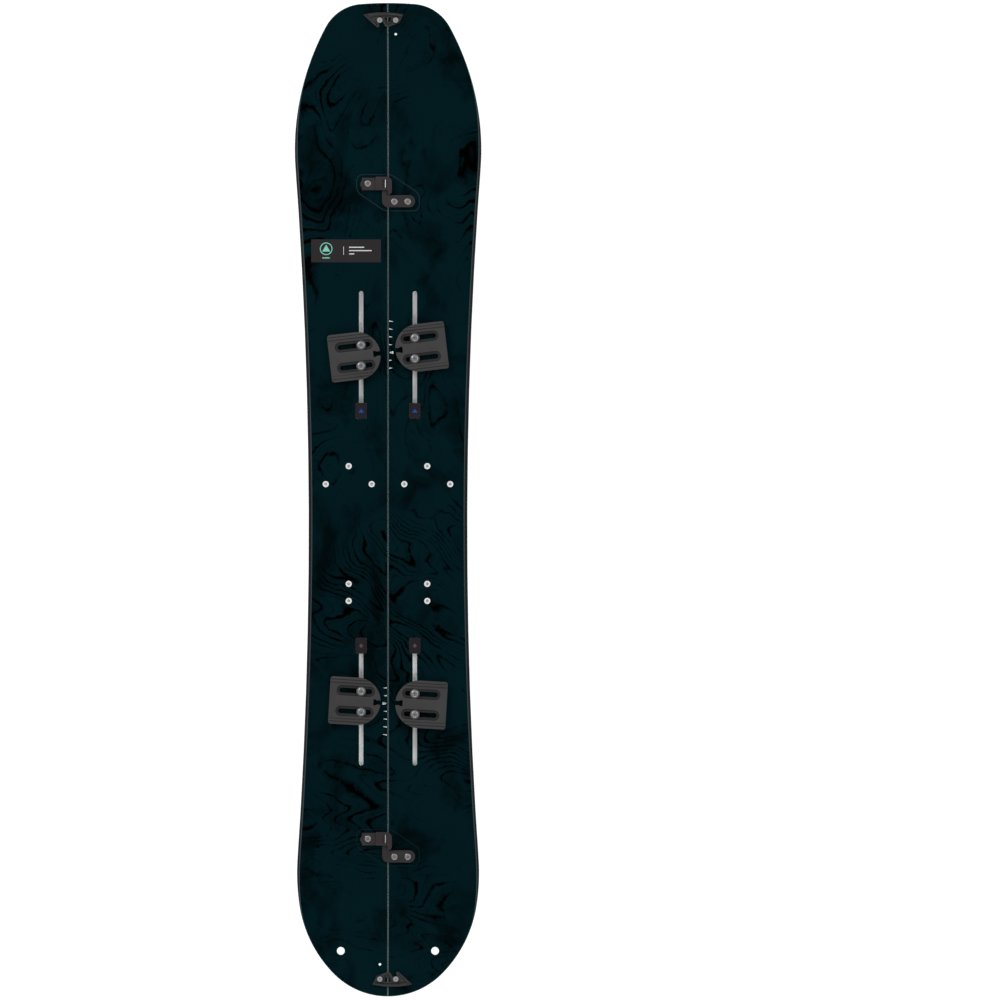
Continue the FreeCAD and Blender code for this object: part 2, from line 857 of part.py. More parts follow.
def make_puck_fixings(side, end):
    """Two cross-recess screws through the puck's slots, with washers, into two nuts in the channel."""
    frame = channel_frame(side, end)
    middle = PUCK_PLACES[side, end] - size(end + "_channel_middle")
    reach = size("puck_slot_pitch") / 2 / math.cos(math.radians(size(end + "_puck_angle")))
    seat = "puck_gap + puck_thickness - puck_recess_depth"
    nut_base = "-channel_cover - channel_height + channel_floor + channel_nut_clearance"
    screws = []
    washers = []
    nuts = []
    for number, step in enumerate((-1, 1), start=1):
        name = f"{side}_{end}_{number}"
        spot = frame * place(0, middle + step * reach)
        head = cylinder(name + "_head", "puck_screw_head", "puck_screw_head_height", seat + " + washer_thickness")
        domed = rounded(name + "_dome", head, size("puck_screw_dome"), is_top_rim)
        shank = cylinder(
            name + "_shank", "puck_screw_shank",
            f"{seat} + washer_thickness - ({nut_base})", nut_base,
        )
        recess_base = f"{seat} + washer_thickness + puck_screw_head_height - cross_recess_depth"
        blades = [
            box(name + "_blade", "cross_recess_width", "cross_recess_span", "cross_recess_depth", recess_base),
            box(name + "_cross", "cross_recess_span", "cross_recess_width", "cross_recess_depth", recess_base),
        ]
        screw = cut(name + "_screw", fuse(name + "_solid", [domed, shank]), fuse(name + "_recess", blades))
        ring = cylinder(name + "_ring", "washer_diameter", "washer_thickness", seat)
        ring_hole = cylinder(name + "_ring_hole", "puck_screw_shank", "washer_thickness", seat)
        washer = cut(name + "_washer", ring, ring_hole)
        block = box(name + "_block", "channel_nut_side", "channel_nut_side", "channel_nut_height", nut_base)
        thread = cylinder(name + "_thread", "puck_screw_shank", "channel_nut_height", nut_base)
        nut = cut(name + "_nut", block, thread)
        for member, members in ((screw, screws), (washer, washers), (nut, nuts)):
            member.Placement = spot
            members.append(member)
    group(f"{side}_{end}_puck_screws", screws)
    group(f"{side}_{end}_washers", washers)
    group(f"{side}_{end}_channel_nuts", nuts)


# ---------------------------------------------------------------- seam hooks


def make_bridge_hook(end):
    """Left hook: a plate whose raised bridge crosses the seam and ends in a lobe that hangs down."""
    name = f"left_{end}_hook"
    body = doc.addObject("PartDesign::Body", name)
    plate = [
        line((-16.5, 3.7), (-40.9, 3.7)),
        line((-40.9, 3.7), (-42.9, 9.5)),
        arc((-42.9, 9.5), (-44.6, 13.0), (-42.9, 16.5)),
        line((-42.9, 16.5), (-40.9, 23.7)),
        line((-40.9, 23.7), (-16.5, 23.7)),
        line((-16.5, 23.7), (-16.5, 3.7)),
    ]
    riser = rectangle(-19.5, 3.7, -16.5, 25.2)
    bridge = [
        line((-19.5, 3.7), (-0.8, 3.7)),
        line((-0.8, 3.7), (-0.8, -3.4)),
        line((-0.8, -3.4), (1.5, -3.4)),
        arc((1.5, -3.4), (4.8, -1.4), (6.2, 2.6)),
        line((6.2, 2.6), (6.2, 17.0)),
        arc((6.2, 17.0), (3.6, 22.6), (-1.9, 25.2)),
        line((-1.9, 25.2), (-19.5, 25.2)),
        line((-19.5, 25.2), (-19.5, 3.7)),
    ]
    lobe = [
        line((-0.8, -3.4), (1.5, -3.4)),
        arc((1.5, -3.4), (4.8, -1.4), (6.2, 2.6)),
        line((6.2, 2.6), (6.2, 17.0)),
        line((6.2, 17.0), (-0.8, 17.0)),
        line((-0.8, 17.0), (-0.8, -3.4)),
    ]
    pad(body, sketch(body, name + "_plate", [plate], "hook_gap"), "hook_plate")
    pad(body, sketch(body, name + "_riser", [riser], "hook_gap"), "hook_bridge_base - hook_gap")
    pad(body, sketch(body, name + "_bridge", [bridge], "hook_bridge_base"), "hook_bridge")
    relief = "hook_gap + hook_relief"
    pad(body, sketch(body, name + "_lobe", [lobe], relief), f"hook_bridge_base - ({relief})")
    drill_hook(body, name, HOOK_SCREWS["left"])
    body.Placement = hook_frame(end)
    piece(name, body)


def make_curl_hook(end):
    """Right hook: a plate whose neck crosses the seam and curls up under the other hook's bridge."""
    name = f"right_{end}_hook"
    body = doc.addObject("PartDesign::Body", name)
    plate = [
        line((0.6, -23.5), (33.5, -23.5)),
        arc((33.5, -23.5), (43.2, -13.8), (33.5, -4.1)),
        line((33.5, -4.1), (0.6, -4.1)),
        line((0.6, -4.1), (0.6, -23.5)),
    ]
    neck = [
        line((0.6, -23.5), (0.6, -4.1)),
        line((0.6, -4.1), (-1.5, -3.6)),
        line((-1.5, -3.6), (-1.5, 12.5)),
        arc((-1.5, 12.5), (-5.45, 15.6), (-9.4, 12.5)),
        line((-9.4, 12.5), (-9.4, -13.5)),
        arc((-9.4, -13.5), (-6.5, -20.6), (0.6, -23.5)),
    ]
    pad(body, sketch(body, name + "_plate", [plate], "hook_gap"), "hook_plate")
    relief = "hook_gap + hook_relief"
    pad(body, sketch(body, name + "_neck", [neck], relief), "hook_plate - hook_relief")
    drill_hook(body, name, HOOK_SCREWS["right"])
    body.Placement = hook_frame(end)
    piece(name, body)


def drill_hook(body, name, centres):
    top = "hook_gap + hook_plate"
    pocket(body, round_sketch(body, name + "_recess", centres, "hook_screw_recess", top), "hook_recess_depth")
    pocket(body, round_sketch(body, name + "_hole", centres, "hook_screw_hole", top), "hook_plate")


def make_hook_screws(side, end):
    """Low-head screws with a six-lobe recess, down into the inserts."""
    members = []
    seat = "hook_gap + hook_plate - hook_recess_depth"
    for number, (x, y) in enumerate(HOOK_SCREWS[side], start=1):
        name = f"{side}_{end}_hook_screw_{number}"
        head = cylinder(name + "_head", "hook_screw_head", "hook_screw_head_height", seat)
        domed = rounded(name + "_dome", head, size("hook_screw_dome"), is_top_rim)
        shank = cylinder(name + "_shank", "insert_screw_core", f"{seat} + insert_hole_depth - screw_end_gap",
                         "screw_end_gap - insert_hole_depth")
        recess_base = f"{seat} + hook_screw_head_height - lobe_recess_depth"
        recess = [cylinder(name + "_socket", "lobe_recess_diameter", "lobe_recess_depth", recess_base)]
        for lobe in range(6):
            angle = math.radians(60 * lobe)
            reach = size("lobe_pitch_radius")
            at = (reach * math.cos(angle), reach * math.sin(angle))
            recess.append(cylinder(f"{name}_lobe_{lobe}", "lobe_diameter", "lobe_recess_depth", recess_base, at))
        screw = cut(name, fuse(name + "_solid", [domed, shank]), fuse(name + "_star", recess))
        screw.Placement = hook_frame(end) * place(x, y)
        members.append(screw)
    group(f"{side}_{end}_hook_screws", members)


# ---------------------------------------------------------------- tip clips


def clip_outline():
    """Plate outline with the seam at x = 0, post line at y = 0, pivot at +x, notch open to -y."""
    offset = size("post_offset")
    notch_radius = size("post_shank") / 2 + size("post_notch_gap")
    wall_radius = 2 * offset + notch_radius + size("post_passing_gap")
    wall_low = -9.4
    wall_x = offset - math.sqrt(wall_radius**2 - wall_low**2)
    wall_middle = offset - math.sqrt(wall_radius**2 - (wall_low / 2) ** 2)
    wall_top = offset - wall_radius
    pocket_right = -offset + notch_radius
    pocket_middle = (wall_top + pocket_right) / 2
    return [
        arc((-37.4, 8.2), (-7.5, 11.9), (22.6, 8.8)),
        arc((22.6, 8.8), (24.0, 8.2), (24.0, 6.6)),
        line((24.0, 6.6), (18.2, -4.8)),
        arc((18.2, -4.8), (17.2, -6.0), (15.7, -6.6)),
        line((15.7, -6.6), (0.5, -11.9)),
        arc((0.5, -11.9), (-2.1, -11.8), (-4.6, -9.9)),
        line((-4.6, -9.9), (-8.0, -3.7)),
        line((-8.0, -3.7), (pocket_right, 0)),
        arc((pocket_right, 0), (pocket_middle, notch_radius), (wall_top, 0)),
        arc((wall_top, 0), (wall_middle, wall_low / 2), (wall_x, wall_low)),
        line((wall_x, wall_low), (-13.9, -11.6)),
        arc((-13.9, -11.6), (-15.4, -12.5), (-17.2, -12.1)),
        line((-17.2, -12.1), (-37.6, 6.6)),
        arc((-37.6, 6.6), (-38.2, 7.5), (-37.4, 8.2)),
    ]


def clip_ridges():
    """Raised rims: along the long arc, along the arm, and round the window."""
    width = size("clip_ridge_width")
    rim = [
        arc((-33.0, 9.3), (-5.5, 11.85), (22.0, 8.85)),
        line((22.0, 8.85), (22.6, 8.85 - width)),
        arc((22.6, 8.85 - width), (-5.5, 11.85 - width), (-29.0, 9.6 - width)),
        line((-29.0, 9.6 - width), (-33.0, 9.3)),
    ]
    arm = polyline([(-36.6, 6.4), (-32.2, 6.4), (-16.9, -8.0), (-21.3, -8.0)])
    return [rim, arm]


def make_clip(tip):
    """Swinging plate that ties the two skis together at one tip."""
    name = f"{tip}_clip"
    body = doc.addObject("PartDesign::Body", name)
    pad(body, sketch(body, name + "_outline", [clip_outline()], "clip_gap"), "clip_plate")
    top = "clip_gap + clip_plate"
    for number, ridge in enumerate(clip_ridges(), start=1):
        pad(body, sketch(body, f"{name}_ridge_{number}", [ridge], top), "clip_ridge")
    window = polyline([(-4.3, 3.8), (-2.5, -3.3), (3.7, -3.3), (5.9, 3.8)])
    pocket(body, sketch(body, name + "_window", [window], top), "clip_plate")
    pivot = sketch(body, name + "_pivot", [], top)
    radius = size("post_shank") / 2 + size("post_running_gap")
    index = pivot.addGeometry(Part.Circle(Vector(size("post_offset"), 0, 0), Z_AXIS, radius), False)
    constraint = pivot.addConstraint(Sketcher.Constraint("Radius", index, radius))
    bind(pivot, f"Constraints[{constraint}]", "post_shank / 2 + post_running_gap")
    pocket(body, pivot, "clip_plate")
    body.Placement = clip_frame(tip)
    piece(name, body)


def make_post(tip, role):
    """Flat-headed post screwed into its nut; the clip turns on one and hooks round the other."""
    name = f"{tip}_{role}_post"
    head = cylinder(name + "_head", "post_head", "post_head_height", "post_head_base")
    shank = cylinder(name + "_shank", "post_shank", "post_depth + post_head_base", "-post_depth")
    recess = cylinder(name + "_recess", "post_recess", "post_recess_depth",
                      "post_head_base + post_head_height - post_recess_depth")
    post = cut(name, fuse(name + "_solid", [head, shank]), recess)
    offset = size("post_offset") if role == "pivot" else -size("post_offset")
    post.Placement = clip_frame(tip) * place(offset)
    piece(name, post)


# ---------------------------------------------------------------- the whole board


for side in SIDES:
    make_ski(side)
    make_inserts(side)
    make_post_nuts(side)
    make_tail_bush(side)
    for end in ENDS:
        make_channel(side, end)
        make_plug(side, end)
        make_puck(side, end)
        make_puck_fixings(side, end)
        make_hook_screws(side, end)
for end in ENDS:
    make_bridge_hook(end)
    make_curl_hook(end)
for tip in ("nose", "tail"):
    make_clip(tip)
    for role in ("pivot", "catch"):
        make_post(tip, role)

doc.recompute()

faults = [obj.Name for obj in doc.Objects if "Invalid" in obj.State or "Error" in obj.State]
if faults:
    raise RuntimeError(f"failed objects: {faults}")
for name, obj in pieces.items():
    if obj.Shape.isNull() or not obj.Shape.isValid() or not obj.Shape.Solids:
        raise RuntimeError(f"bad shape: {name}")

os.makedirs("parts", exist_ok=True)
for name, obj in pieces.items():
    obj.Shape.exportStep(f"parts/{name}.step")
    print(f"{name}: {len(obj.Shape.Solids)} solids, {obj.Shape.Volume:.1f} mm3")
print(f"{len(pieces)} nodes, length {outline_length():.2f} mm")
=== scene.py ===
import json
import math

import bmesh
import bpy
import numpy as np
from mathutils import Matrix, Vector


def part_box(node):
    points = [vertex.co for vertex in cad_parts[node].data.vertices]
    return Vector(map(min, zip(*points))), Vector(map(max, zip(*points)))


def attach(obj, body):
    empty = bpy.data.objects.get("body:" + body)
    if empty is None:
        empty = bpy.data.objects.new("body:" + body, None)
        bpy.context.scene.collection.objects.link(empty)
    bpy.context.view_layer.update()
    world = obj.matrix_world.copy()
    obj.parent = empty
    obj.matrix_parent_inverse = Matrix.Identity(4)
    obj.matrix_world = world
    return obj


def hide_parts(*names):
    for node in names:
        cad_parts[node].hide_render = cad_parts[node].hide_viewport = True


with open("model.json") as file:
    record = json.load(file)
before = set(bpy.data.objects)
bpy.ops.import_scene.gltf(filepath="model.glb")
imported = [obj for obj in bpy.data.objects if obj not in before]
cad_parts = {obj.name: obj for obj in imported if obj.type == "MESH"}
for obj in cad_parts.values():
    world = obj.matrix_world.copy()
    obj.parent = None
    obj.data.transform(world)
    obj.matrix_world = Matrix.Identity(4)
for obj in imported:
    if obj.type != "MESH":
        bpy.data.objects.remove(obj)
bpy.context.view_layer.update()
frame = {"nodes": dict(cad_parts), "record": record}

# A splitboard lying base down, nose towards +Y, seam on x = 0.
# Layers, fittings and prints are in millimetres. Ink patches, bump depths, the floor and the places of
# lights and camera are in metres.
SIDES = {"left": -1.0, "right": 1.0}
ENDS = ("front", "rear")
MM = 0.001
# half the gap between the skis, in the CAD and as shown
CAD_HALF_GAP = 0.3
HALF_GAP = 0.06
# the flat drawing of the layers: full height, and how near a face a layer follows that face exactly
THICK = 8.6
NEAR_FACE = 2.4


# ---------------------------------------------------------------- reading the frame
def mesh_arrays(node):
    """Vertex places and face normals, middles and corner lists of a CAD node, in millimetres."""
    mesh = frame["nodes"][node].data
    points = np.empty(len(mesh.vertices) * 3)
    mesh.vertices.foreach_get("co", points)
    faces = [(np.array(f.normal), list(f.vertices)) for f in mesh.polygons]
    return points.reshape(-1, 3) / MM, faces


def level_profile(node, way):
    """Height along the board of a layer's top (way 1) or underside (way -1)."""
    points, faces = mesh_arrays(node)
    rows = {}
    for normal, corners in faces:
        if normal[2] * way > 0.9:
            for c in corners:
                rows.setdefault(round(points[c][1], 1), []).append(points[c][2])
    along = np.array(sorted(rows))
    height = np.array([way * max(way * z for z in rows[y]) for y in along])
    keep = [0]
    for i in range(1, len(along)):
        if along[i] - along[keep[-1]] > 1.5:
            keep.append(i)
    return along[keep], height[keep]


def hermite(along, values, at):
    """Smooth cubic curve through (along, values), read at the places in at."""
    slope = np.gradient(values, along, axis=0)
    at = np.clip(at, along[0], along[-1])
    i = np.clip(np.searchsorted(along, at) - 1, 0, len(along) - 2)
    step = along[i + 1] - along[i]
    t = (at - along[i]) / step
    if values.ndim > 1:
        t, step = t[:, None], step[:, None]
    return ((1 + 2 * t) * (1 - t) ** 2 * values[i] + t * (1 - t) ** 2 * step * slope[i]
            + t * t * (3 - 2 * t) * values[i + 1] + t * t * (t - 1) * step * slope[i + 1])


TOP = level_profile("left_topsheet", 1)
LOW = level_profile("left_base", -1)


def top_z(y):
    return hermite(TOP[0], TOP[1], np.asarray(y, float))


def low_z(y):
    return hermite(LOW[0], LOW[1], np.asarray(y, float))


def top_frame(x, y, lift=0.0):
    """Matrix whose Z is the topsheet's normal at (x, y), in metres."""
    z = float(top_z([y])[0])
    slope = float((top_z([y + 2])[0] - top_z([y - 2])[0]) / 4)
    along = Vector((0, 1, slope)).normalized()
    normal = Vector((1, 0, 0)).cross(along)
    place = Vector((x, y, z)) + normal * lift
    matrix = Matrix((Vector((1, 0, 0)), along, normal)).transposed().to_4x4()
    matrix.translation = place * MM
    return matrix


def outer_line(side):
    """Outer edge of a ski in plan, from the tail corner at the seam round to the nose corner."""
    sign = SIDES[side]
    points, faces = mesh_arrays(side + "_steel_edge")
    found, seam = set(), []
    for normal, corners in faces:
        if abs(normal[2]) > 0.3:
            continue
        middle = points[corners].mean(0)
        away = middle[:2] - np.array([70.0 * sign, 0.0])
        if normal[:2] @ away < 0:
            continue
        for c in corners:
            x, y = points[c][0] * sign, points[c][1]
            if x > 1.0:
                found.add((round(y, 1), round(x, 1), x, y))
            elif x < CAD_HALF_GAP + 0.05:
                seam.append(y)
    line = sorted(((y, x) for _, _, x, y in found))
    clean = [line[0]]
    for y, x in line[1:]:
        if math.hypot(y - clean[-1][0], x - clean[-1][1]) > 2.0:
            clean.append((y, x))
    line = [(min(seam), HALF_GAP)] + clean + [(max(seam), HALF_GAP)]
    line = np.array([(x, y) for y, x in line])
    run = np.concatenate(([0], np.cumsum(np.hypot(*np.diff(line, axis=0).T))))
    fine = np.linspace(0, run[-1], 1600)
    return hermite(run, line, fine)


def ease(low, high, value):
    t = np.clip((value - low) / (high - low), 0, 1)
    return t * t * (3 - 2 * t)


def between_widest(y):
    """1 between the widest points of nose and tail, falling to 0 near the tips."""
    return ease(-700, -590, y) * (1 - ease(560, 690, y))


COUNT = 460


def ring_points(line, inset, seam):
    """Closed loop in plan: the outer edge set in by inset(y), then back down the seam at x = seam."""
    tangent = np.gradient(line, axis=0)
    tangent /= np.linalg.norm(tangent, axis=1)[:, None]
    inward = np.stack([-tangent[:, 1], tangent[:, 0]], axis=1)
    depth = inset(line[:, 1])
    moved = line + inward * depth[:, None]
    inside = moved[:, 0] > seam
    first, last = int(np.argmax(inside)), len(inside) - 1 - int(np.argmax(inside[::-1]))
    kept = moved[first:last + 1]
    low = np.array([[seam, kept[0][1]]])
    high = np.array([[seam, kept[-1][1]]])
    kept = np.concatenate([low, kept, high])
    run = np.concatenate(([0], np.cumsum(np.hypot(*np.diff(kept, axis=0).T))))
    keys = np.linspace(0, run[-1], COUNT)
    outer = np.stack([np.interp(keys, run, kept[:, i]) for i in (0, 1)], axis=1)
    back = np.stack([np.full(COUNT - 2, seam), outer[1:-1, 1]], axis=1)[::-1]
    return np.concatenate([outer, back])


# ---------------------------------------------------------------- building pieces
def finish_mesh(obj, body, nodes=(), sharp=35):
    for face in obj.data.polygons:
        face.use_smooth = True
    obj.data.set_sharp_from_angle(angle=math.radians(sharp))
    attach(obj, body)
    if nodes:
        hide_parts(*nodes)
    return obj


def new_object(name, verts, faces, materials, indices=None):
    mesh = bpy.data.meshes.new(name)
    mesh.from_pydata([tuple(v) for v in verts], [], faces)
    mesh.validate()
    obj = bpy.data.objects.new(name, mesh)
    bpy.context.scene.collection.objects.link(obj)
    for m in materials:
        mesh.materials.append(m)
    if indices is not None:
        mesh.polygons.foreach_set("material_index", indices)
    bm = bmesh.new()
    bm.from_mesh(mesh)
    bmesh.ops.recalc_face_normals(bm, faces=bm.faces)
    bm.to_mesh(mesh)
    bm.free()
    return obj


def bend(points):
    """From flat plan places with a height through the board to their real places."""
    low, high = low_z(points[:, 1]), top_z(points[:, 1])
    h = points[:, 2]
    share = (h - NEAR_FACE) / (THICK - 2 * NEAR_FACE)
    middle = low + NEAR_FACE + share * (high - low - 2 * NEAR_FACE)
    z = np.where(h <= NEAR_FACE, low + h, np.where(h >= THICK - NEAR_FACE, high - (THICK - h), middle))
    return np.stack([points[:, 0], points[:, 1], z], axis=1)


def layered(name, side, line, layers, materials, bands=None, ring=False):
    """A layer of the ski from loops (inset, seam, height), closed by caps or back onto its first loop."""
    sign = SIDES[side]
    verts, faces, indices = [], [], []
    for inset, seam, height in layers:
        loop = ring_points(line, inset if callable(inset) else (lambda y, d=inset: np.full_like(y, d)), seam)
        verts.append(np.column_stack([loop, np.full(len(loop), height)]))
    size = len(verts[0])
    pairs = [(k, k + 1) for k in range(len(layers) - 1)] + ([(len(layers) - 1, 0)] if ring else [])
    for k, (a, b) in enumerate(pairs):
        for i in range(size):
            j = (i + 1) % size
            faces.append((a * size + i, a * size + j, b * size + j, b * size + i))
            indices.append(bands[k] if bands else 0)
    if not ring:
        for base in (0, (len(layers) - 1) * size):
            def seam_corner(i):
                return base + (i if i in (0, COUNT - 1) else 2 * COUNT - 2 - i)
            for i in range(COUNT - 1):
                corners = [base + i, base + i + 1, seam_corner(i + 1), seam_corner(i)]
                faces.append(tuple(dict.fromkeys(corners)))
                indices.append(0)
    points = bend(np.concatenate(verts)) * MM
    points[:, 0] *= sign
    return new_object(name, points, faces, materials, indices)


def lathe(name, profile, matrices, materials, bands=None, turns=56):
    """Solids of revolution at each matrix, from (radius, height) points in millimetres."""
    verts, faces, indices = [], [], []
    for matrix in matrices:
        rows = []
        for radius, height in profile:
            if radius < 1e-6:
                rows.append([len(verts)])
                verts.append(matrix @ Vector((0, 0, height * MM)))
                continue
            rows.append(list(range(len(verts), len(verts) + turns)))
            for k in range(turns):
                angle = 2 * math.pi * k / turns
                verts.append(matrix @ Vector((radius * MM * math.cos(angle),
                                              radius * MM * math.sin(angle), height * MM)))
        pairs = list(zip(rows, rows[1:]))
        closed = profile[0][0] > 1e-6 and profile[-1][0] > 1e-6
        if closed:
            pairs.append((rows[-1], rows[0]))
        for b, (low, high) in enumerate(pairs):
            for k in range(turns):
                j = (k + 1) % turns
                corners = [low[k % len(low)], low[j % len(low)], high[j % len(high)], high[k % len(high)]]
                corners = list(dict.fromkeys(corners))
                if len(corners) > 2:
                    faces.append(tuple(corners))
                    indices.append(bands[b] if bands else 0)
    return new_object(name, verts, faces, materials, indices)


def prism(outline, low, high, matrix):
    """Vertices and faces of an upright prism over a plan outline in millimetres."""
    n = len(outline)
    verts = [matrix @ Vector((x * MM, y * MM, z * MM)) for z in (low, high) for x, y in outline]
    faces = [tuple(reversed(range(n))), tuple(range(n, 2 * n))]
    faces += [(i, (i + 1) % n, n + (i + 1) % n, n + i) for i in range(n)]
    return verts, faces


def prisms(name, parts, materials, indices=None):
    verts, faces, index = [], [], []
    for k, (v, f) in enumerate(parts):
        start = len(verts)
        verts += v
        faces += [tuple(start + c for c in face) for face in f]
        index += [indices[k] if indices else 0] * len(f)
    return new_object(name, verts, faces, materials, index)


def circle(x, y, r, n=64):
    return [(x + r * math.cos(2 * math.pi * k / n), y + r * math.sin(2 * math.pi * k / n)) for k in range(n)]


def round_rect(x0, y0, x1, y1, r, n=10):
    points = []
    corners = ((x1 - r, y1 - r, 0), (x0 + r, y1 - r, 90), (x0 + r, y0 + r, 180), (x1 - r, y0 + r, 270))
    for cx, cy, a in corners:
        for k in range(n + 1):
            t = math.radians(a + 90 * k / n)
            points.append((cx + r * math.cos(t), cy + r * math.sin(t)))
    return points


def subtract(obj, cutters, operation="DIFFERENCE"):
    """Cut obj by each cutter, and remove the cutters."""
    for cutter in cutters:
        m = obj.modifiers.new("cut", "BOOLEAN")
        m.operation, m.solver, m.object = operation, "EXACT", cutter
        bpy.context.view_layer.update()
        depsgraph = bpy.context.evaluated_depsgraph_get()
        mesh = bpy.data.meshes.new_from_object(obj.evaluated_get(depsgraph))
        obj.modifiers.clear()
        old = obj.data
        obj.data = mesh
        mesh.name = old.name
        bpy.data.meshes.remove(old)
        bpy.data.objects.remove(cutter)
    return obj


def loose_parts(node):
    """Middle, plan radius and top of each separate solid in a CAD node, in millimetres."""
    points, faces = mesh_arrays(node)
    key = {}
    group = list(range(len(points)))

    def find(i):
        while group[i] != i:
            group[i] = group[group[i]]
            i = group[i]
        return i
    for i, p in enumerate(points):
        k = tuple(np.round(p, 3))
        if k in key:
            group[find(i)] = find(key[k])
        key[k] = i
    for _, corners in faces:
        for c in corners[1:]:
            group[find(c)] = find(corners[0])
    sets = {}
    for i in range(len(points)):
        sets.setdefault(find(i), []).append(i)
    found = []
    for members in sets.values():
        p = points[members]
        low, high = p.min(0), p.max(0)
        found.append({"middle": (low + high) / 2, "low": low, "high": high, "radius": (high[0] - low[0]) / 2})
    return sorted(found, key=lambda f: (round(f["middle"][1], 1), round(f["middle"][0], 1)))


# ---------------------------------------------------------------- materials
def srgb(r, g, b):
    def linear(c):
        c /= 255
        return c / 12.92 if c <= 0.04045 else ((c + 0.055) / 1.055) ** 2.4
    return (linear(r), linear(g), linear(b), 1.0)


class Finish:
    """A node material with helpers for its colour, roughness and bump."""

    def __init__(self, name, colour, rough, metallic=0.0, specular=0.5, coat=0.0, coat_rough=0.1):
        self.material = bpy.data.materials.new(name)
        self.material.use_nodes = True
        self.tree = self.material.node_tree
        self.shader = self.tree.nodes["Principled BSDF"]
        self.set("Base Color", colour)
        self.set("Roughness", rough)
        self.set("Metallic", metallic)
        self.set("Specular IOR Level", specular)
        if coat:
            self.set("Coat Weight", coat)
            self.set("Coat Roughness", coat_rough)
        self.place = self.node("ShaderNodeTexCoord").outputs["Object"]
        self.bumped = None

    def set(self, name, value):
        self.shader.inputs[name].default_value = value

    def node(self, kind, inputs=None, **settings):
        made = self.tree.nodes.new(kind)
        for k, v in settings.items():
            setattr(made, k, v)
        for k, v in (inputs or {}).items():
            if isinstance(v, bpy.types.NodeSocket):
                self.tree.links.new(v, made.inputs[k])
            else:
                made.inputs[k].default_value = v
        return made

    def mapped(self, scale=(1, 1, 1), turn=(0, 0, 0)):
        made = self.node("ShaderNodeMapping", {"Vector": self.place, "Scale": scale, "Rotation": turn})
        return made.outputs[0]

    def noise(self, vector, scale, detail=4.0, rough=0.55, distortion=0.0):
        return self.node("ShaderNodeTexNoise", {"Vector": vector, "Scale": scale, "Detail": detail,
                                                "Roughness": rough, "Distortion": distortion})

    def ramp(self, fac, stops):
        made = self.node("ShaderNodeValToRGB", {"Fac": fac})
        ramp = made.color_ramp
        while len(ramp.elements) < len(stops):
            ramp.elements.new(0.5)
        for e, (at, colour) in zip(ramp.elements, stops):
            e.position = at
            e.color = colour if len(colour) == 4 else (*colour, 1)
        return made.outputs["Color"]

    def math(self, operation, a, b=None, clamp=False):
        made = self.node("ShaderNodeMath", {0: a}, operation=operation, use_clamp=clamp)
        if b is not None:
            if isinstance(b, bpy.types.NodeSocket):
                self.tree.links.new(b, made.inputs[1])
            else:
                made.inputs[1].default_value = b
        return made.outputs[0]

    def mix(self, fac, a, b, blend="MIX"):
        made = self.node("ShaderNodeMix", data_type="RGBA", blend_type=blend)
        for socket, value in ((made.inputs[0], fac), (made.inputs[6], a), (made.inputs[7], b)):
            if isinstance(value, bpy.types.NodeSocket):
                self.tree.links.new(value, socket)
            else:
                socket.default_value = value
        return made.outputs[2]

    def colour(self, socket):
        self.tree.links.new(socket, self.shader.inputs["Base Color"])
        return self

    def roughness(self, socket, low, high):
        made = self.node("ShaderNodeMapRange", {"Value": socket, "To Min": low, "To Max": high})
        self.tree.links.new(made.outputs[0], self.shader.inputs["Roughness"])
        return self

    def bump(self, height, distance, strength=1.0):
        made = self.node("ShaderNodeBump", {"Height": height, "Distance": distance, "Strength": strength})
        if self.bumped is not None:
            self.tree.links.new(self.bumped, made.inputs["Normal"])
        self.bumped = made.outputs[0]
        self.tree.links.new(self.bumped, self.shader.inputs["Normal"])
        return self


def grained(name, colour, rough, metallic=0.0, specular=0.5, grain=900.0, depth=0.00003,
            stretch=(1, 1, 1), shade=0.12, spread=0.08, patches=25.0, coat=0.0):
    """A plain finish with fine grain, slow patches of shade and roughness that follows both."""
    f = Finish(name, colour, rough, metallic, specular, coat)
    fine = f.noise(f.mapped(stretch), grain, 5.0, 0.6).outputs["Fac"]
    slow = f.noise(f.mapped((1, 1, 1)), patches, 3.0, 0.5).outputs["Fac"]
    dark = tuple(c * (1 - shade) for c in colour[:3]) + (1,)
    light = tuple(min(1, c * (1 + shade)) for c in colour[:3]) + (1,)
    tone = f.ramp(slow, [(0.3, dark), (0.7, light)])
    f.colour(f.mix(f.math("MULTIPLY", fine, 0.25), tone, colour))
    f.roughness(f.math("ADD", f.math("MULTIPLY", fine, 0.6), f.math("MULTIPLY", slow, 0.4)),
                max(0.05, rough - spread), min(1, rough + spread))
    f.bump(fine, depth)
    return f.material


# where the ink lies thick: place, half width, half length (m) and how much
INKED = [
    (-0.105, 0.47, 0.055, 0.17, 0.18), (0.125, 0.50, 0.035, 0.11, 0.22), (-0.06, -0.17, 0.10, 0.13, 0.19),
    (0.05, -0.24, 0.09, 0.08, 0.14), (-0.07, -0.46, 0.10, 0.12, 0.18), (0.06, -0.40, 0.09, 0.07, 0.10),
    (-0.10, 0.66, 0.05, 0.07, 0.12), (0.03, 0.72, 0.06, 0.05, 0.10), (0.02, 0.24, 0.07, 0.06, 0.08),
]


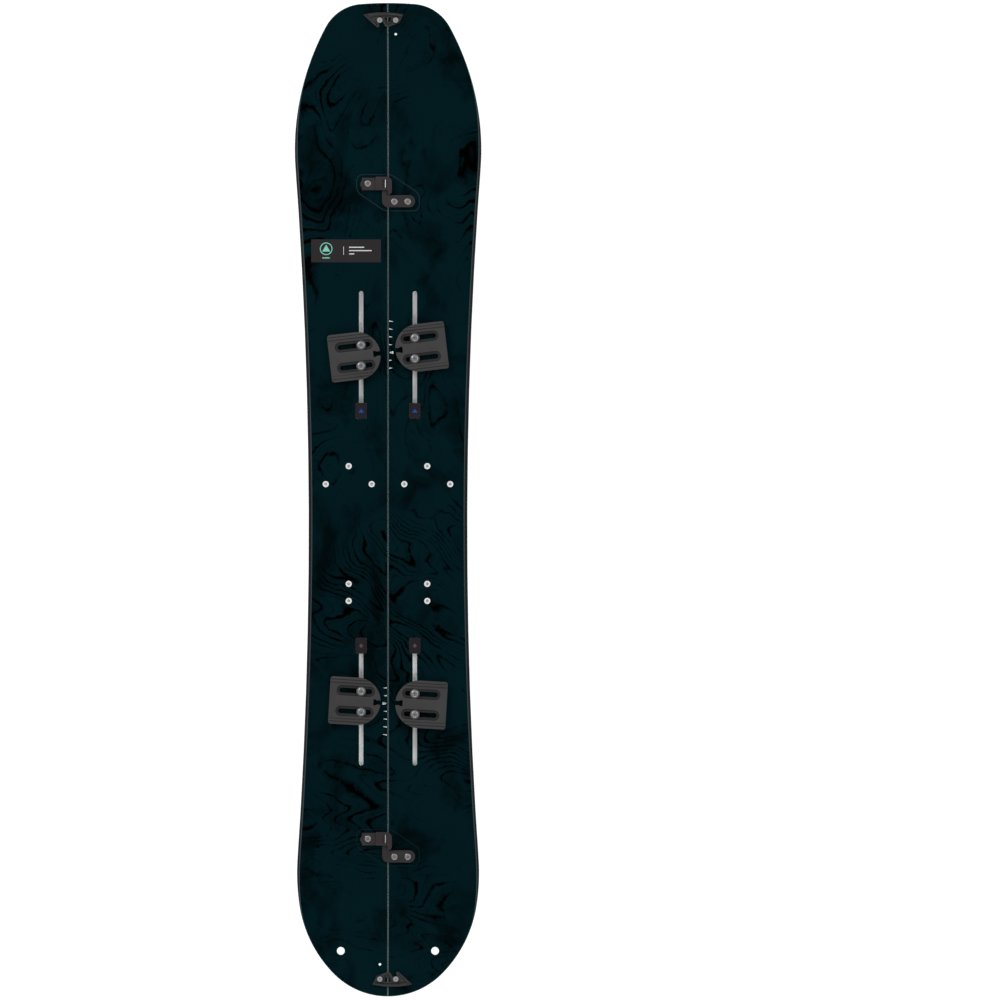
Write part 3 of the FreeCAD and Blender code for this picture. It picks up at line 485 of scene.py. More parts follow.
def marbled():
    """Dark teal film under black ink in nested lines: slanted at the nose, lengthwise, across the tail."""
    black = (0, 0, 0, 1)
    f = Finish("topsheet_marbled", srgb(3, 25, 30), 0.5, 0.0, 0.01)
    plain = f.mapped()

    def shifted(vector, by, amount):
        by = f.node("ShaderNodeVectorMath", {0: by, 1: (0.5, 0.5, 0.5)}, operation="SUBTRACT").outputs[0]
        by = f.node("ShaderNodeVectorMath", {0: by, "Scale": amount}, operation="SCALE").outputs[0]
        return f.node("ShaderNodeVectorMath", {0: vector, 1: by}, operation="ADD").outputs[0]

    def stretched(vector, scale, turn=0.0):
        vector = f.node("ShaderNodeMapping", {"Vector": vector, "Rotation": (0, 0, turn)}).outputs[0]
        return f.node("ShaderNodeMapping", {"Vector": vector, "Scale": scale}).outputs[0]

    drift = f.noise(plain, 6.0, 2.0, 0.5).outputs["Color"]
    ragged = f.noise(plain, 85.0, 4.0, 0.65).outputs["Color"]
    path = shifted(shifted(plain, drift, 0.12), ragged, 0.008)
    along = f.node("ShaderNodeSeparateXYZ", {"Vector": path}).outputs["Y"]
    nose = f.node("ShaderNodeMapRange", {"Value": along, "From Min": 0.50, "From Max": 0.66}).outputs[0]
    middle = f.node("ShaderNodeMapRange", {"Value": along, "From Min": 0.10, "From Max": -0.08}).outputs[0]
    rear = f.node("ShaderNodeMapRange", {"Value": along, "From Min": -0.28, "From Max": -0.40}).outputs[0]
    lengthwise = f.noise(stretched(path, (9.0, 2.2, 1.0)), 1.0, 1.5, 0.5).outputs["Fac"]
    slanted = f.noise(stretched(path, (9.0, 2.6, 1.0), 0.75), 1.0, 1.5, 0.5).outputs["Fac"]
    crosswise = f.noise(stretched(path, (2.2, 11.0, 1.0), 0.12), 1.0, 1.5, 0.5).outputs["Fac"]
    sloping = f.noise(stretched(path, (2.6, 10.0, 1.0), 0.6), 1.0, 1.5, 0.5).outputs["Fac"]
    height = f.mix(rear, f.mix(middle, f.mix(nose, lengthwise, slanted), sloping), crosswise)
    spread = f.noise(stretched(plain, (1.0, 0.8, 1.0)), 7.5, 3.0, 0.55).outputs["Fac"]
    broken = f.noise(path, 60.0, 4.0, 0.7).outputs["Fac"]
    calm = f.node("ShaderNodeMapRange", {"Value": spread, "From Min": 0.38, "From Max": 0.64,
                                         "To Min": -0.06, "To Max": 0.16}).outputs[0]
    for x, y, across, length, amount in INKED:
        away = f.node("ShaderNodeVectorMath", {0: path, 1: (x, y, 0)}, operation="SUBTRACT").outputs[0]
        away = f.node("ShaderNodeVectorMath", {0: away, 1: (1 / across, 1 / length, 0)},
                      operation="MULTIPLY").outputs[0]
        away = f.node("ShaderNodeVectorMath", {0: away}, operation="LENGTH").outputs["Value"]
        near = f.node("ShaderNodeMapRange", {"Value": away, "From Min": 0.3, "From Max": 1.15,
                                             "To Min": amount, "To Max": 0.0}).outputs[0]
        calm = f.math("ADD", calm, near)
    width = f.math("ADD", f.math("MINIMUM", calm, 0.2),
                   f.math("MULTIPLY", f.math("SUBTRACT", broken, 0.5), 0.42))

    def lines(count, narrow, gain):
        turn = f.math("FRACT", f.math("MULTIPLY", height, count))
        away = f.math("ABSOLUTE", f.math("SUBTRACT", turn, 0.5))
        inside = f.math("SUBTRACT", f.math("MULTIPLY", width, narrow), away)
        return f.math("MULTIPLY", inside, gain, clamp=True)

    bold = lines(27.0, 1.0, 8.0)
    hair = lines(74.0, 0.9, 4.0)
    dark = f.math("MAXIMUM", bold, f.math("MULTIPLY", hair, 0.6))
    tone = f.mix(f.noise(plain, 9.0, 4.0).outputs["Fac"], srgb(2, 23, 28), srgb(3, 30, 35))
    clouds = f.noise(stretched(path, (1.0, 0.7, 1.0)), 13.0, 5.0, 0.62).outputs["Fac"]
    tone = f.mix(f.ramp(clouds, [(0.36, (0, 0, 0)), (0.50, (1, 1, 1))]), srgb(1, 12, 15), tone)
    f.colour(f.mix(dark, tone, black))
    fine = f.noise(plain, 1500.0, 3.0).outputs["Fac"]
    f.roughness(f.mix(0.5, fine, dark), 0.42, 0.58)
    f.bump(fine, 0.00002).bump(dark, 0.00002, 0.5)
    return f.material


def sintered():
    """Mint base: dense sintered plastic with a fine structure ground lengthwise."""
    mint = srgb(134, 210, 189)
    f = Finish("base_sintered", mint, 0.34, 0.0, 0.4)
    structure = f.node("ShaderNodeTexWave", {"Vector": f.place, "Scale": 700.0, "Distortion": 2.5,
                                             "Detail": 3.0, "Detail Scale": 1.5}, bands_direction="X")
    slow = f.noise(f.mapped((1, 0.25, 1)), 14.0, 4.0).outputs["Fac"]
    fine = f.noise(f.mapped((1, 0.1, 1)), 900.0, 3.0).outputs["Fac"]
    f.colour(f.mix(slow, srgb(128, 205, 184), srgb(140, 215, 195)))
    f.roughness(fine, 0.26, 0.46)
    f.bump(structure.outputs["Fac"], 0.00003).bump(fine, 0.00002)
    return f.material


def turned(name, colour, rough, metallic=1.0, grain=2600.0):
    """Metal with fine rings left by turning, uneven shine and light handling marks."""
    f = Finish(name, colour, rough, metallic)
    fine = f.noise(f.mapped((1, 1, 6)), grain, 4.0, 0.6).outputs["Fac"]
    slow = f.noise(f.mapped(), 60.0, 3.0).outputs["Fac"]
    dark = tuple(c * 0.86 for c in colour[:3]) + (1,)
    f.colour(f.mix(slow, dark, colour))
    f.roughness(f.math("ADD", f.math("MULTIPLY", fine, 0.5), f.math("MULTIPLY", slow, 0.5)),
                rough - 0.1, rough + 0.12)
    f.bump(fine, 0.00002)
    return f.material


def extruded(name, colour, rough, metallic):
    """Anodised extrusion with die lines running lengthwise, and slow darker patches in its colour as painted
    reflection and shade.
    """
    f = Finish(name, colour, rough, metallic)
    lines = f.noise(f.mapped((1, 0.004, 1)), 2400.0, 4.0, 0.7).outputs["Fac"]
    slow = f.noise(f.mapped((1, 1, 1)), 14.0, 2.0).outputs["Fac"]
    # painted reflection and shade: slow patches a quarter darker stand for the lamps and floor mirrored along
    # the channels and the shade near the pucks
    dark = tuple(c * 0.76 for c in colour[:3]) + (1,)
    f.colour(f.ramp(slow, [(0.36, dark), (0.62, colour)]))
    f.roughness(lines, rough - 0.08, rough + 0.1)
    f.bump(lines, 0.00003)
    return f.material


def wooden():
    """Core of upright strips glued side by side."""
    f = Finish("core_strips", srgb(196, 160, 112), 0.55)
    strips = f.node("ShaderNodeTexWave", {"Vector": f.place, "Scale": 13.0}, bands_direction="X")
    grain = f.noise(f.mapped((1, 0.05, 1)), 300.0, 5.0, 0.6, 0.4).outputs["Fac"]
    tone = f.mix(grain, srgb(176, 138, 92), srgb(214, 180, 132))
    seam = f.ramp(strips.outputs["Fac"], [(0.0, (0.5, 0.5, 0.5)), (0.06, (1, 1, 1))])
    f.colour(f.mix(1.0, tone, seam, "MULTIPLY"))
    f.roughness(grain, 0.45, 0.7)
    f.bump(grain, 0.00005)
    return f.material


def woven():
    """Glass cloth laid at 45 degrees in clear resin."""
    f = Finish("glass_cloth", srgb(150, 158, 140), 0.3, coat=0.3)
    diagonal = (0, 0, 0.785)
    threads = []
    for way in ("X", "Y"):
        wave = f.node("ShaderNodeTexWave", {"Vector": f.mapped((1, 1, 1), diagonal), "Scale": 260.0},
                      bands_direction=way)
        threads.append(wave.outputs["Fac"])
    weave = f.math("MAXIMUM", *threads)
    f.colour(f.mix(weave, srgb(112, 122, 108), srgb(176, 182, 165)))
    f.roughness(weave, 0.22, 0.42)
    f.bump(weave, 0.00004)
    return f.material


def ink(name, colour, rough=0.55):
    """Flat printing ink; also the flat lighter grey of the topsheet's rim, a painted highlight."""
    return grained(name, colour, rough, 0.0, 0.05, 1300, 0.00002, shade=0.05)


MATERIALS = {
    "topsheet_film": marbled(),
    # the topsheet's sloping rim in a lighter grey: a painted highlight along its rounded edge
    "film_rim_highlight": ink("film_rim_highlight", srgb(58, 71, 74)),
    "base_plastic": sintered(),
    "edge_steel": grained("edge_ground", (0.14, 0.14, 0.15, 1), 0.42, 1.0, 0.5, 500, 0.00004,
                          (6, 0.3, 6), 0.15, 0.12),
    "glass_laminate": woven(),
    "core_wood": wooden(),
    "sidewall_plastic": grained("sidewall_milled", srgb(24, 20, 22), 0.5, 0.0, 0.05, 700, 0.00005,
                                (4, 0.25, 4)),
    "insert_steel": turned("insert_zinc", (0.95, 0.95, 0.95, 1), 0.42, 0.1),
    "insert_bore": turned("insert_bore", (0.90, 0.90, 0.92, 1), 0.5, 0.0),
    "bush_metal": turned("bush_satin", (0.42, 0.43, 0.45, 1), 0.38, 0.6),
    # its slow darker patches are painted reflection and shade
    "channel_metal": extruded("channel_satin", (0.97, 0.97, 0.98, 1), 0.45, 0.1),
    "plug_plastic": grained("plug_moulded", srgb(36, 31, 36), 0.55, 0.0, 0.1, 1500, 0.00003),
    # a plug's sloping rim in a lighter grey: a painted highlight on its rounded edge
    "plug_rim_highlight": grained("plug_rim_highlight", srgb(48, 52, 55), 0.5, 0.0, 0.2, 1500, 0.00003),
    "hook_metal": grained("hook_anodised", srgb(55, 50, 52), 0.46, 0.3, 0.3, 1100, 0.00003,
                          shade=0.1, spread=0.1),
    "clip_metal": grained("clip_anodised", srgb(57, 56, 57), 0.44, 0.3, 0.3, 1100, 0.00003,
                          shade=0.1, spread=0.1),
    "post_steel": turned("post_turned", (0.50, 0.50, 0.50, 1), 0.36, 0.6),
    "screw_steel": turned("screw_zinc", (0.38, 0.38, 0.39, 1), 0.38, 0.6),
    # dark strokes on the clips: painted shade along their grooves and raised rim
    "clip_groove_shade": grained("clip_groove_shade", srgb(34, 32, 33), 0.6, 0.0, 0.1, 1300, 0.00002),
    "washer_steel": turned("washer_zinc", (0.13, 0.13, 0.13, 1), 0.45, 0.4),
    "pin_steel": turned("pin_bright", (0.70, 0.70, 0.70, 1), 0.3, 0.6),
    "puck_plastic": grained("puck_moulded", srgb(66, 66, 66), 0.6, 0.0, 0.1, 1600, 0.00005, shade=0.06),
    # the floors of a puck's recesses in a darker grey: painted shade
    "puck_recess_shade": grained("puck_recess_shade", srgb(48, 46, 47), 0.65, 0.0, 0.08, 1600, 0.00005, shade=0.06),
    "ink_white": ink("ink_white", srgb(214, 218, 218)),
    "ink_line": ink("ink_line", srgb(38, 52, 56)),
    "ink_faint": ink("ink_faint", srgb(14, 34, 40)),
    "ink_plate": ink("ink_plate", srgb(46, 43, 44)),
    "ink_mint": ink("ink_mint", srgb(128, 206, 184)),
    "ink_blue": ink("ink_blue", srgb(28, 78, 155)),
    "ink_grey": ink("ink_grey", srgb(80, 80, 80)),
}

for subpart in frame["record"]["subparts"]:
    node = frame["nodes"][subpart["node"]]
    node.data.materials.clear()
    washer = subpart["node"].endswith("_washers")
    node.data.materials.append(MATERIALS["washer_steel" if washer else subpart["material_slot"]])


# ---------------------------------------------------------------- board layers
# heights in the flat drawing, and widths
EDGE_WIDTH, EDGE_TOP = 2.2, 1.92
WALL_LOW, WALL_TOP = 1.93, 7.95
FILM_LOW, FILM_RIM = 7.96, 8.55
SEAM_BEVEL = 1.2
# rim of the topsheet from the outer edge: at the tips, more at the waist, and how much less at RIM_REACH
TIP_RIM, WAIST_RIM, RIM_LOSS = 1.0, 5.0, 1.7
RIM_REACH, WAIST_ROUNDING = 600.0, 60.0
# half widths of the openings over a channel
SLOT_HALF, MOUTH_HALF, MOUTH_CORNER = 3.45, 9.0, 3.2
# closed end of a rail, play round a plug, and how far a cutter reaches up and down
RAIL_END, MOUTH_PLAY, CUT_REACH = 2, 0.1, 6
# radii of the round holes in the topsheet
ROUND_HOLES = (("inserts", 5.02), ("post_nuts", 2.2), ("tail_bush", 6.2))
NUT_HOLE = 3.67


def bevel(y):
    """How far in the topsheet's rim lies from the outer edge."""
    from_middle = np.sqrt(y * y + WAIST_ROUNDING ** 2) / RIM_REACH
    return TIP_RIM + (WAIST_RIM - RIM_LOSS * from_middle) * between_widest(y)


def opening_cutters(side):
    """Solids to take out of the topsheet for its channels, inserts, post nuts and tail bush."""
    found = []
    for end in ENDS:
        low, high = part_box(f"{side}_{end}_channel")
        lid_low, lid_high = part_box(f"{side}_{end}_plug")
        x = (low.x + high.x) / 2 / MM
        mouth_first = (lid_low.y - low.y) < (high.y - lid_high.y)
        if mouth_first:
            y0, y1 = lid_low.y / MM, high.y / MM - RAIL_END
        else:
            y0, y1 = low.y / MM + RAIL_END, lid_high.y / MM
        m0, m1 = lid_low.y / MM - MOUTH_PLAY, lid_high.y / MM + MOUTH_PLAY
        slot = round_rect(x - SLOT_HALF, y0, x + SLOT_HALF, y1, SLOT_HALF - 0.01)
        mouth = round_rect(x - MOUTH_HALF, m0, x + MOUTH_HALF, m1, MOUTH_CORNER)
        middle = (y0 + y1) / 2
        z = float(top_z([middle])[0])
        for outline in (slot, mouth):
            shape = prism(outline, z - CUT_REACH, z + CUT_REACH, Matrix.Identity(4))
            found.append(prisms("cutter", [shape], []))
    for node, radius in ROUND_HOLES:
        for part in loose_parts(f"{side}_{node}"):
            x, y = part["middle"][0], part["middle"][1]
            if node == "tail_bush":
                matrix = upright(x, y, float(top_z([y])[0]))
            else:
                matrix = top_frame(x, y)
            shape = prism(circle(0, 0, radius), -2.5, 2.5, matrix)
            found.append(prisms("cutter", [shape], []))
    return found


def upright(x, y, z):
    """Matrix at a place in millimetres, with Z straight up."""
    return Matrix.Translation(Vector((x, y, z)) * MM)


def make_edge(side, line):
    gap = HALF_GAP
    edge = layered(side + "_edge_band", side, line, [
        (0.12, gap + 0.05, 0.0), (0.0, gap, 0.12), (0.0, gap, 1.82), (0.1, gap + 0.03, EDGE_TOP),
        (EDGE_WIDTH, gap + EDGE_WIDTH, EDGE_TOP), (EDGE_WIDTH, gap + EDGE_WIDTH, 0.08),
        (2.12, gap + 2.12, 0.0)], [MATERIALS["edge_steel"]], ring=True)
    finish_mesh(edge, side + "_ski", [side + "_steel_edge"], 25)


def make_base(side, line):
    gap = HALF_GAP
    base = layered(side + "_base_skin", side, line, [
        (2.30, gap + 2.30, 0.0), (2.22, gap + 2.22, 0.08), (2.22, gap + 2.22, 1.38)],
        [MATERIALS["base_plastic"]])
    bush = loose_parts(side + "_tail_bush")[0]
    holes = [prism(circle(0, 0, bush["radius"] + 0.02), -16, 4, upright(*bush["middle"]))]
    for nut in loose_parts(side + "_post_nuts"):
        holes.append(prism(circle(0, 0, NUT_HOLE), -16, 4, top_frame(nut["middle"][0], nut["middle"][1])))
    subtract(base, [prisms("cutter", [hole], []) for hole in holes])
    finish_mesh(base, side + "_ski", [side + "_base"], 20)


def make_walls(side, line):
    """Sidewall all round: leaning in towards the topsheet outside, upright along the seam."""
    gap = HALF_GAP

    def foot(y):
        return 0.12 + 0.13 * between_widest(y)

    def head(y):
        return np.maximum(bevel(y) - 1.35, 0.3)

    def inside(y):
        return bevel(y) + 2.6

    walls = layered(side + "_wall_band", side, line, [
        (foot, gap + 0.05, WALL_LOW), (foot, gap + 0.02, 2.9), (head, gap + 0.02, 7.9),
        (inside, gap + 3.9, WALL_TOP), (inside, gap + 3.9, WALL_LOW)],
        [MATERIALS["sidewall_plastic"]], ring=True)
    finish_mesh(walls, side + "_ski", [side + "_sidewalls"], 25)


def make_topsheet(side, line):
    """Film with a sloping rim in a lighter grey, a painted highlight along its edge, cut open over the
    channels, inserts, nuts and bush.
    """
    gap = HALF_GAP

    def rim_foot(y):
        return np.maximum(bevel(y) - 1.4, 0.25)

    sheet = layered(side + "_topsheet_skin", side, line, [
        (rim_foot, gap + 0.06, FILM_LOW), (rim_foot, gap + 0.06, FILM_LOW + 0.06),
        (bevel, gap + SEAM_BEVEL, FILM_RIM),
        (lambda y: bevel(y) + 0.12, gap + SEAM_BEVEL + 0.12, THICK)],
        [MATERIALS["topsheet_film"], MATERIALS["film_rim_highlight"]], bands=[1, 1, 1])
    subtract(sheet, opening_cutters(side))
    finish_mesh(sheet, side + "_ski", [side + "_topsheet"], 20)


def make_layers(side):
    line = outer_line(side)
    make_edge(side, line)
    make_base(side, line)
    make_walls(side, line)
    make_topsheet(side, line)


for side in SIDES:
    make_layers(side)


# ---------------------------------------------------------------- fittings
# a plug's outline is set in by this, so that it doesn't meet the edge of its mouth
PLUG_INSET = 0.12
# how near the washers' underside counts as their seat, and how far the seat is lowered
SEAT_FINDS, SEAT_DROP = 0.15, 0.04
# heights over the topsheet between which an upward face of a puck lies in a recess, and is painted darker as
# shade
RECESS_LOW, RECESS_HIGH = 0.5, 4.9


def detailed_copy(node, body, width, slot, angle=28, segments=3, dissolve=4, corner=0.0):
    """The CAD piece with flat faces merged, every edge rounded and, with corner, a rounded plan."""
    source = frame["nodes"][node]
    mesh = source.data.copy()
    obj = bpy.data.objects.new(node + "_finished", mesh)
    bpy.context.scene.collection.objects.link(obj)
    bm = bmesh.new()
    bm.from_mesh(mesh)
    bmesh.ops.remove_doubles(bm, verts=bm.verts, dist=2e-6)
    bmesh.ops.dissolve_limit(bm, angle_limit=math.radians(dissolve), verts=bm.verts, edges=bm.edges)
    weight = bm.edges.layers.float.new("bevel_weight_edge")
    for edge in bm.edges:
        if len(edge.link_faces) == 2 and edge.is_convex and edge.calc_face_angle() > math.radians(angle):
            edge[weight] = 1.0
    bm.to_mesh(mesh)
    bm.free()
    mesh.materials.clear()
    mesh.materials.append(MATERIALS[slot])
    if corner:
        low, high = (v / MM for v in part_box(node))
        d = PLUG_INSET
        outline = round_rect(low.x + d, low.y + d, high.x - d, high.y - d, corner)
        limits = prisms("limits", [prism(outline, low.z - 1, high.z + 1, Matrix.Identity(4))], [])
        subtract(obj, [limits], "INTERSECT")
    m = obj.modifiers.new("round", "BEVEL")
    m.width, m.segments, m.limit_method = width * MM, segments, "WEIGHT"
    m.use_clamp_overlap = True
    m.harden_normals = False
    bpy.context.view_layer.update()
    done = bpy.data.meshes.new_from_object(obj.evaluated_get(bpy.context.evaluated_depsgraph_get()))
    obj.modifiers.clear()
    obj.data = done
    done.name = node + "_finished"
    return finish_mesh(obj, body, [node], 38)


def second_finish(obj, slot, chosen):
    """Give the faces picked by chosen(middle in millimetres, normal) another material."""
    obj.data.materials.append(MATERIALS[slot])
    for face in obj.data.polygons:
        if chosen(face.center / MM, face.normal):
            face.material_index = 1


def lower_seat(puck, washers):
    """Set the face under the washers down by a hair, so that the two don't share a plane."""
    points = mesh_arrays(washers)[0]
    seat = float(np.min(points[:, 2] - top_z(points[:, 1])))
    for v in puck.data.vertices:
        if abs(v.co.z / MM - float(top_z([v.co.y / MM])[0]) - seat) < SEAT_FINDS:
            v.co.z -= SEAT_DROP * MM


def recessed(middle, normal):
    height = middle.z - float(top_z([middle.y])[0])
    return normal.z > 0.5 and RECESS_LOW < height < RECESS_HIGH


for side in SIDES:
    for end in ENDS:
        puck = detailed_copy(f"{side}_{end}_puck", f"{side}_{end}_puck", 0.35, "puck_plastic")
        lower_seat(puck, f"{side}_{end}_washers")
        # upward faces in the recesses get the darker grey as painted shade
        second_finish(puck, "puck_recess_shade", recessed)
        detailed_copy(f"{side}_{end}_hook", side + "_ski", 0.25, "hook_metal")
        plug = detailed_copy(f"{side}_{end}_plug", side + "_ski", 0.7, "plug_plastic", corner=MOUTH_CORNER)
        # the faces of the rim that don't face up get the lighter grey as painted highlight
        second_finish(plug, "plug_rim_highlight", lambda middle, normal: normal.z < 0.9)
detailed_copy("nose_clip", "nose_clip", 0.25, "clip_metal")
detailed_copy("tail_clip", "tail_clip", 0.25, "clip_metal")

# the pin in each left hook's bridge, and the dark strips beside it: painted shade in the groove it lies in
# and the pin's painted shadow
PIN_X = -4.1
PIN_RADIUS, PIN_CHAMFER = 0.95, 0.2
# its two ends, back from the hook's nose side
PIN_FIRST, PIN_LAST = 4.5, 17.5
PIN_SHADED_GROOVES = ((-5.9, -5.25), (-2.95, -2.2), (-8.3, -7.9))
for end in ENDS:
    node = f"left_{end}_hook"
    low, high = (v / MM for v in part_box(node))
    first, last = high.y - PIN_FIRST, high.y - PIN_LAST
    run = first - last
    lying = upright(PIN_X, first, high.z - 0.7) @ Matrix.Rotation(math.radians(90), 4, "X")
    face = PIN_RADIUS - PIN_CHAMFER
    profile = [(0.0, 0.0), (face, 0.0), (PIN_RADIUS, PIN_CHAMFER),
               (PIN_RADIUS, run - PIN_CHAMFER), (face, run), (0.0, run)]
    pin = lathe(node + "_pin", profile, [lying], [MATERIALS["pin_steel"]], turns=24)
    finish_mesh(pin, "left_ski", [node])
    shaded_grooves = []
    # each strip is a thin dark solid on the hook's top, standing for shade
    for x0, x1 in PIN_SHADED_GROOVES:
        outline = [(x0, last - 0.4), (x1, last - 0.4), (x1, first + 0.4), (x0, first + 0.4)]
        shaded_grooves.append(prism(outline, high.z - 0.4, high.z + 0.03, Matrix.Identity(4)))
    shade = prisms(node + "_grooves", shaded_grooves, [MATERIALS["sidewall_plastic"]])
    finish_mesh(shade, "left_ski", [node])

# an insert's profile from its screw hole outwards, as (radius, height), and the finish of each step
INSERT = [(0.0, -4.2), (2.3, -4.2), (2.3, -0.45), (2.8, 0.0), (4.75, 0.0), (5.0, -0.2), (5.0, -3.8),
          (8.0, -3.8), (8.0, -4.6), (0.0, -4.6)]
INSERT_BANDS = [1, 1, 1, 0, 0, 0, 0, 0, 0]
for side in SIDES:
    matrices = []
    for part in loose_parts(side + "_inserts"):
        matrices.append(upright(part["middle"][0], part["middle"][1], part["high"][2]))
    inserts = lathe(side + "_inserts_turned", INSERT, matrices,
                    [MATERIALS["insert_steel"], MATERIALS["insert_bore"]], INSERT_BANDS)
    finish_mesh(inserts, side + "_ski", [side + "_inserts"])


# ---------------------------------------------------------------- prints and small marks
# how far ink reaches from the surface: first coat, and a second coat printed over it
COAT = (-0.02, 0.06)
SECOND_COAT = (0.05, 0.09)


def printed(name, side, shapes, finish, under=False, coat=COAT):
    """Thin ink on the topsheet, or on the base, over plan shapes in millimetres."""
    verts, faces = [], []
    surface, way = (low_z, -1) if under else (top_z, 1)
    for shape in shapes:
        n, start = len(shape), len(verts)
        height = surface([y for _, y in shape])
        for lift in coat:
            verts += [(x * MM, y * MM, (float(z) + way * lift) * MM) for (x, y), z in zip(shape, height)]
        faces += [tuple(start + n - 1 - i for i in range(n)), tuple(start + n + i for i in range(n))]
        faces += [(start + i, start + (i + 1) % n, start + n + (i + 1) % n, start + n + i) for i in range(n)]
    obj = new_object(name, verts, faces, [MATERIALS[finish]])
    node, slot = ("_base", "base_plastic") if under else ("_topsheet", "topsheet_film")
    return finish_mesh(obj, side + "_ski", [side + node], 20)


def stroke(points, width, closed=True):
    """Quads along a line of points."""
    line = np.array(points)
    if closed:
        tangent = np.roll(line, -1, axis=0) - np.roll(line, 1, axis=0)
    else:
        tangent = np.gradient(line, axis=0)
    tangent /= np.linalg.norm(tangent, axis=1)[:, None]
    across = np.stack([-tangent[:, 1], tangent[:, 0]], axis=1) * width / 2
    inner, outer = line - across, line + across
    last = len(line) if closed else len(line) - 1
    quads = []
    for i in range(last):
        j = (i + 1) % len(line)
        quads.append([tuple(inner[i]), tuple(inner[j]), tuple(outer[j]), tuple(outer[i])])
    return quads


def disc(x, y, inner, outer, turns=72, rings=4):
    """Quads of a flat ring in plan."""
    quads = []
    for r in range(rings):
        a, b = inner + (outer - inner) * r / rings, inner + (outer - inner) * (r + 1) / rings
        for k in range(turns):
            t, u = 2 * math.pi * k / turns, 2 * math.pi * (k + 1) / turns
            corners = [(a, t), (b, t), (b, u), (a, u)]
            quads.append([(x + q * math.cos(w), y + q * math.sin(w)) for q, w in corners])
    return quads


def rounded(corners, radius, n=10):
    """Closed outline through the corners with each one rounded."""
    points = []
    count = len(corners)
    for i in range(count):
        here = Vector(corners[i])
        before, after = (Vector(corners[i - 1]) - here), (Vector(corners[(i + 1) % count]) - here)
        r = radius[i]
        half = before.angle(after) / 2
        run = r / math.tan(half)
        a, b = here + before.normalized() * run, here + after.normalized() * run
        centre = here + (before.normalized() + after.normalized()).normalized() * (r / math.sin(half))
        for k in range(n + 1):
            mixed = a.lerp(b, k / n) - centre
            points.append(tuple(centre + mixed.normalized() * r))
    dense = []
    for i, p in enumerate(points):
        q = points[(i + 1) % len(points)]
        steps = max(1, int(math.dist(p, q) / 4))
        dense += [(p[0] + (q[0] - p[0]) * k / steps, p[1] + (q[1] - p[1]) * k / steps) for k in range(steps)]
    return dense


def split_at_seam(quads):
    """The quads of each ski; those that cross the seam gap are left out."""
    return {side: [q for q in quads if all(x * sign > 1.6 for x, _ in q)] for side, sign in SIDES.items()}


def strips(x0, y0, x1, y1, count):
    step = (y1 - y0) / count
    return [[(x0, y0 + k * step), (x1, y0 + k * step), (x1, y0 + (k + 1) * step), (x0, y0 + (k + 1) * step)]
            for k in range(count)]


SCALE_STEP = 12.55
for end, side, middle, way in (("front", "right", 235.2, 1), ("rear", "left", -324.5, -1)):
    marks = []
    for k in range(-2, 5):
        y = middle + way * k * SCALE_STEP
        if k == 0:
            marks.append([(way * 2.2, y), (way * 5.6, y - 1.9), (way * 5.6, y + 1.9)])
            marks.append([(way * 6.4, y - 1.9), (way * 8.6, y - 1.9),
                          (way * 8.6, y + 1.9), (way * 6.4, y + 1.9)])
            continue
        far, tip = way * (5.6 + 0.7 * abs(k)), y - 0.25 * way * k
        marks.append([(way * 1.8, y - 0.9), (far, tip - 0.25), (far, tip + 0.25), (way * 1.8, y + 0.9)])
    printed(f"{side}_{end}_scale_print", side, marks, "ink_white")

for end, middle, finish in (("front", 490.0, "ink_line"), ("rear", -554.5, "ink_faint")):
    corners = [(-50.0, middle + 29.0), (5.0, middle + 29.0), (50.0, middle - 1.5), (50.0, middle - 29.0),
               (-5.0, middle - 29.0), (-50.0, middle + 1.5)]
    quads = split_at_seam(stroke(rounded(corners, [10, 16, 16, 10, 16, 16]), 0.9))
    for side in SIDES:
        printed(f"{side}_{end}_hook_outline", side, quads[side], finish)

printed("left_label_plate", "left", strips(-122.5, 379.0, -11.3, 415.6, 8), "ink_plate")
mark = disc(-98.6, 400.6, 8.6, 10.0, 60, 1)
mark += [[(-105.0, 396.2), (-92.2, 396.2), (-98.6, 407.2)]] + strips(-104.4, 385.2, -92.8, 386.9, 1)
printed("left_label_mark", "left", mark, "ink_mint", coat=SECOND_COAT)
bars = strips(-71.2, 391.0, -70.5, 404.4, 2) + strips(-62.0, 402.2, -38.0, 403.8, 1)
bars += strips(-62.0, 396.9, -26.0, 398.5, 1) + strips(-62.0, 391.7, -54.0, 393.2, 1)
printed("left_label_bars", "left", bars, "ink_white", coat=SECOND_COAT)

SEAL = (-67.8, 486.8)
printed("left_base_seal", "left", disc(*SEAL, 0.01, 52.5, 72, 8), "ink_white", under=True)
rings = disc(*SEAL, 21.0, 27.0) + disc(*SEAL, 0.01, 9.0, 48, 2)
printed("left_base_seal_rings", "left", rings, "ink_mint", under=True, coat=SECOND_COAT)

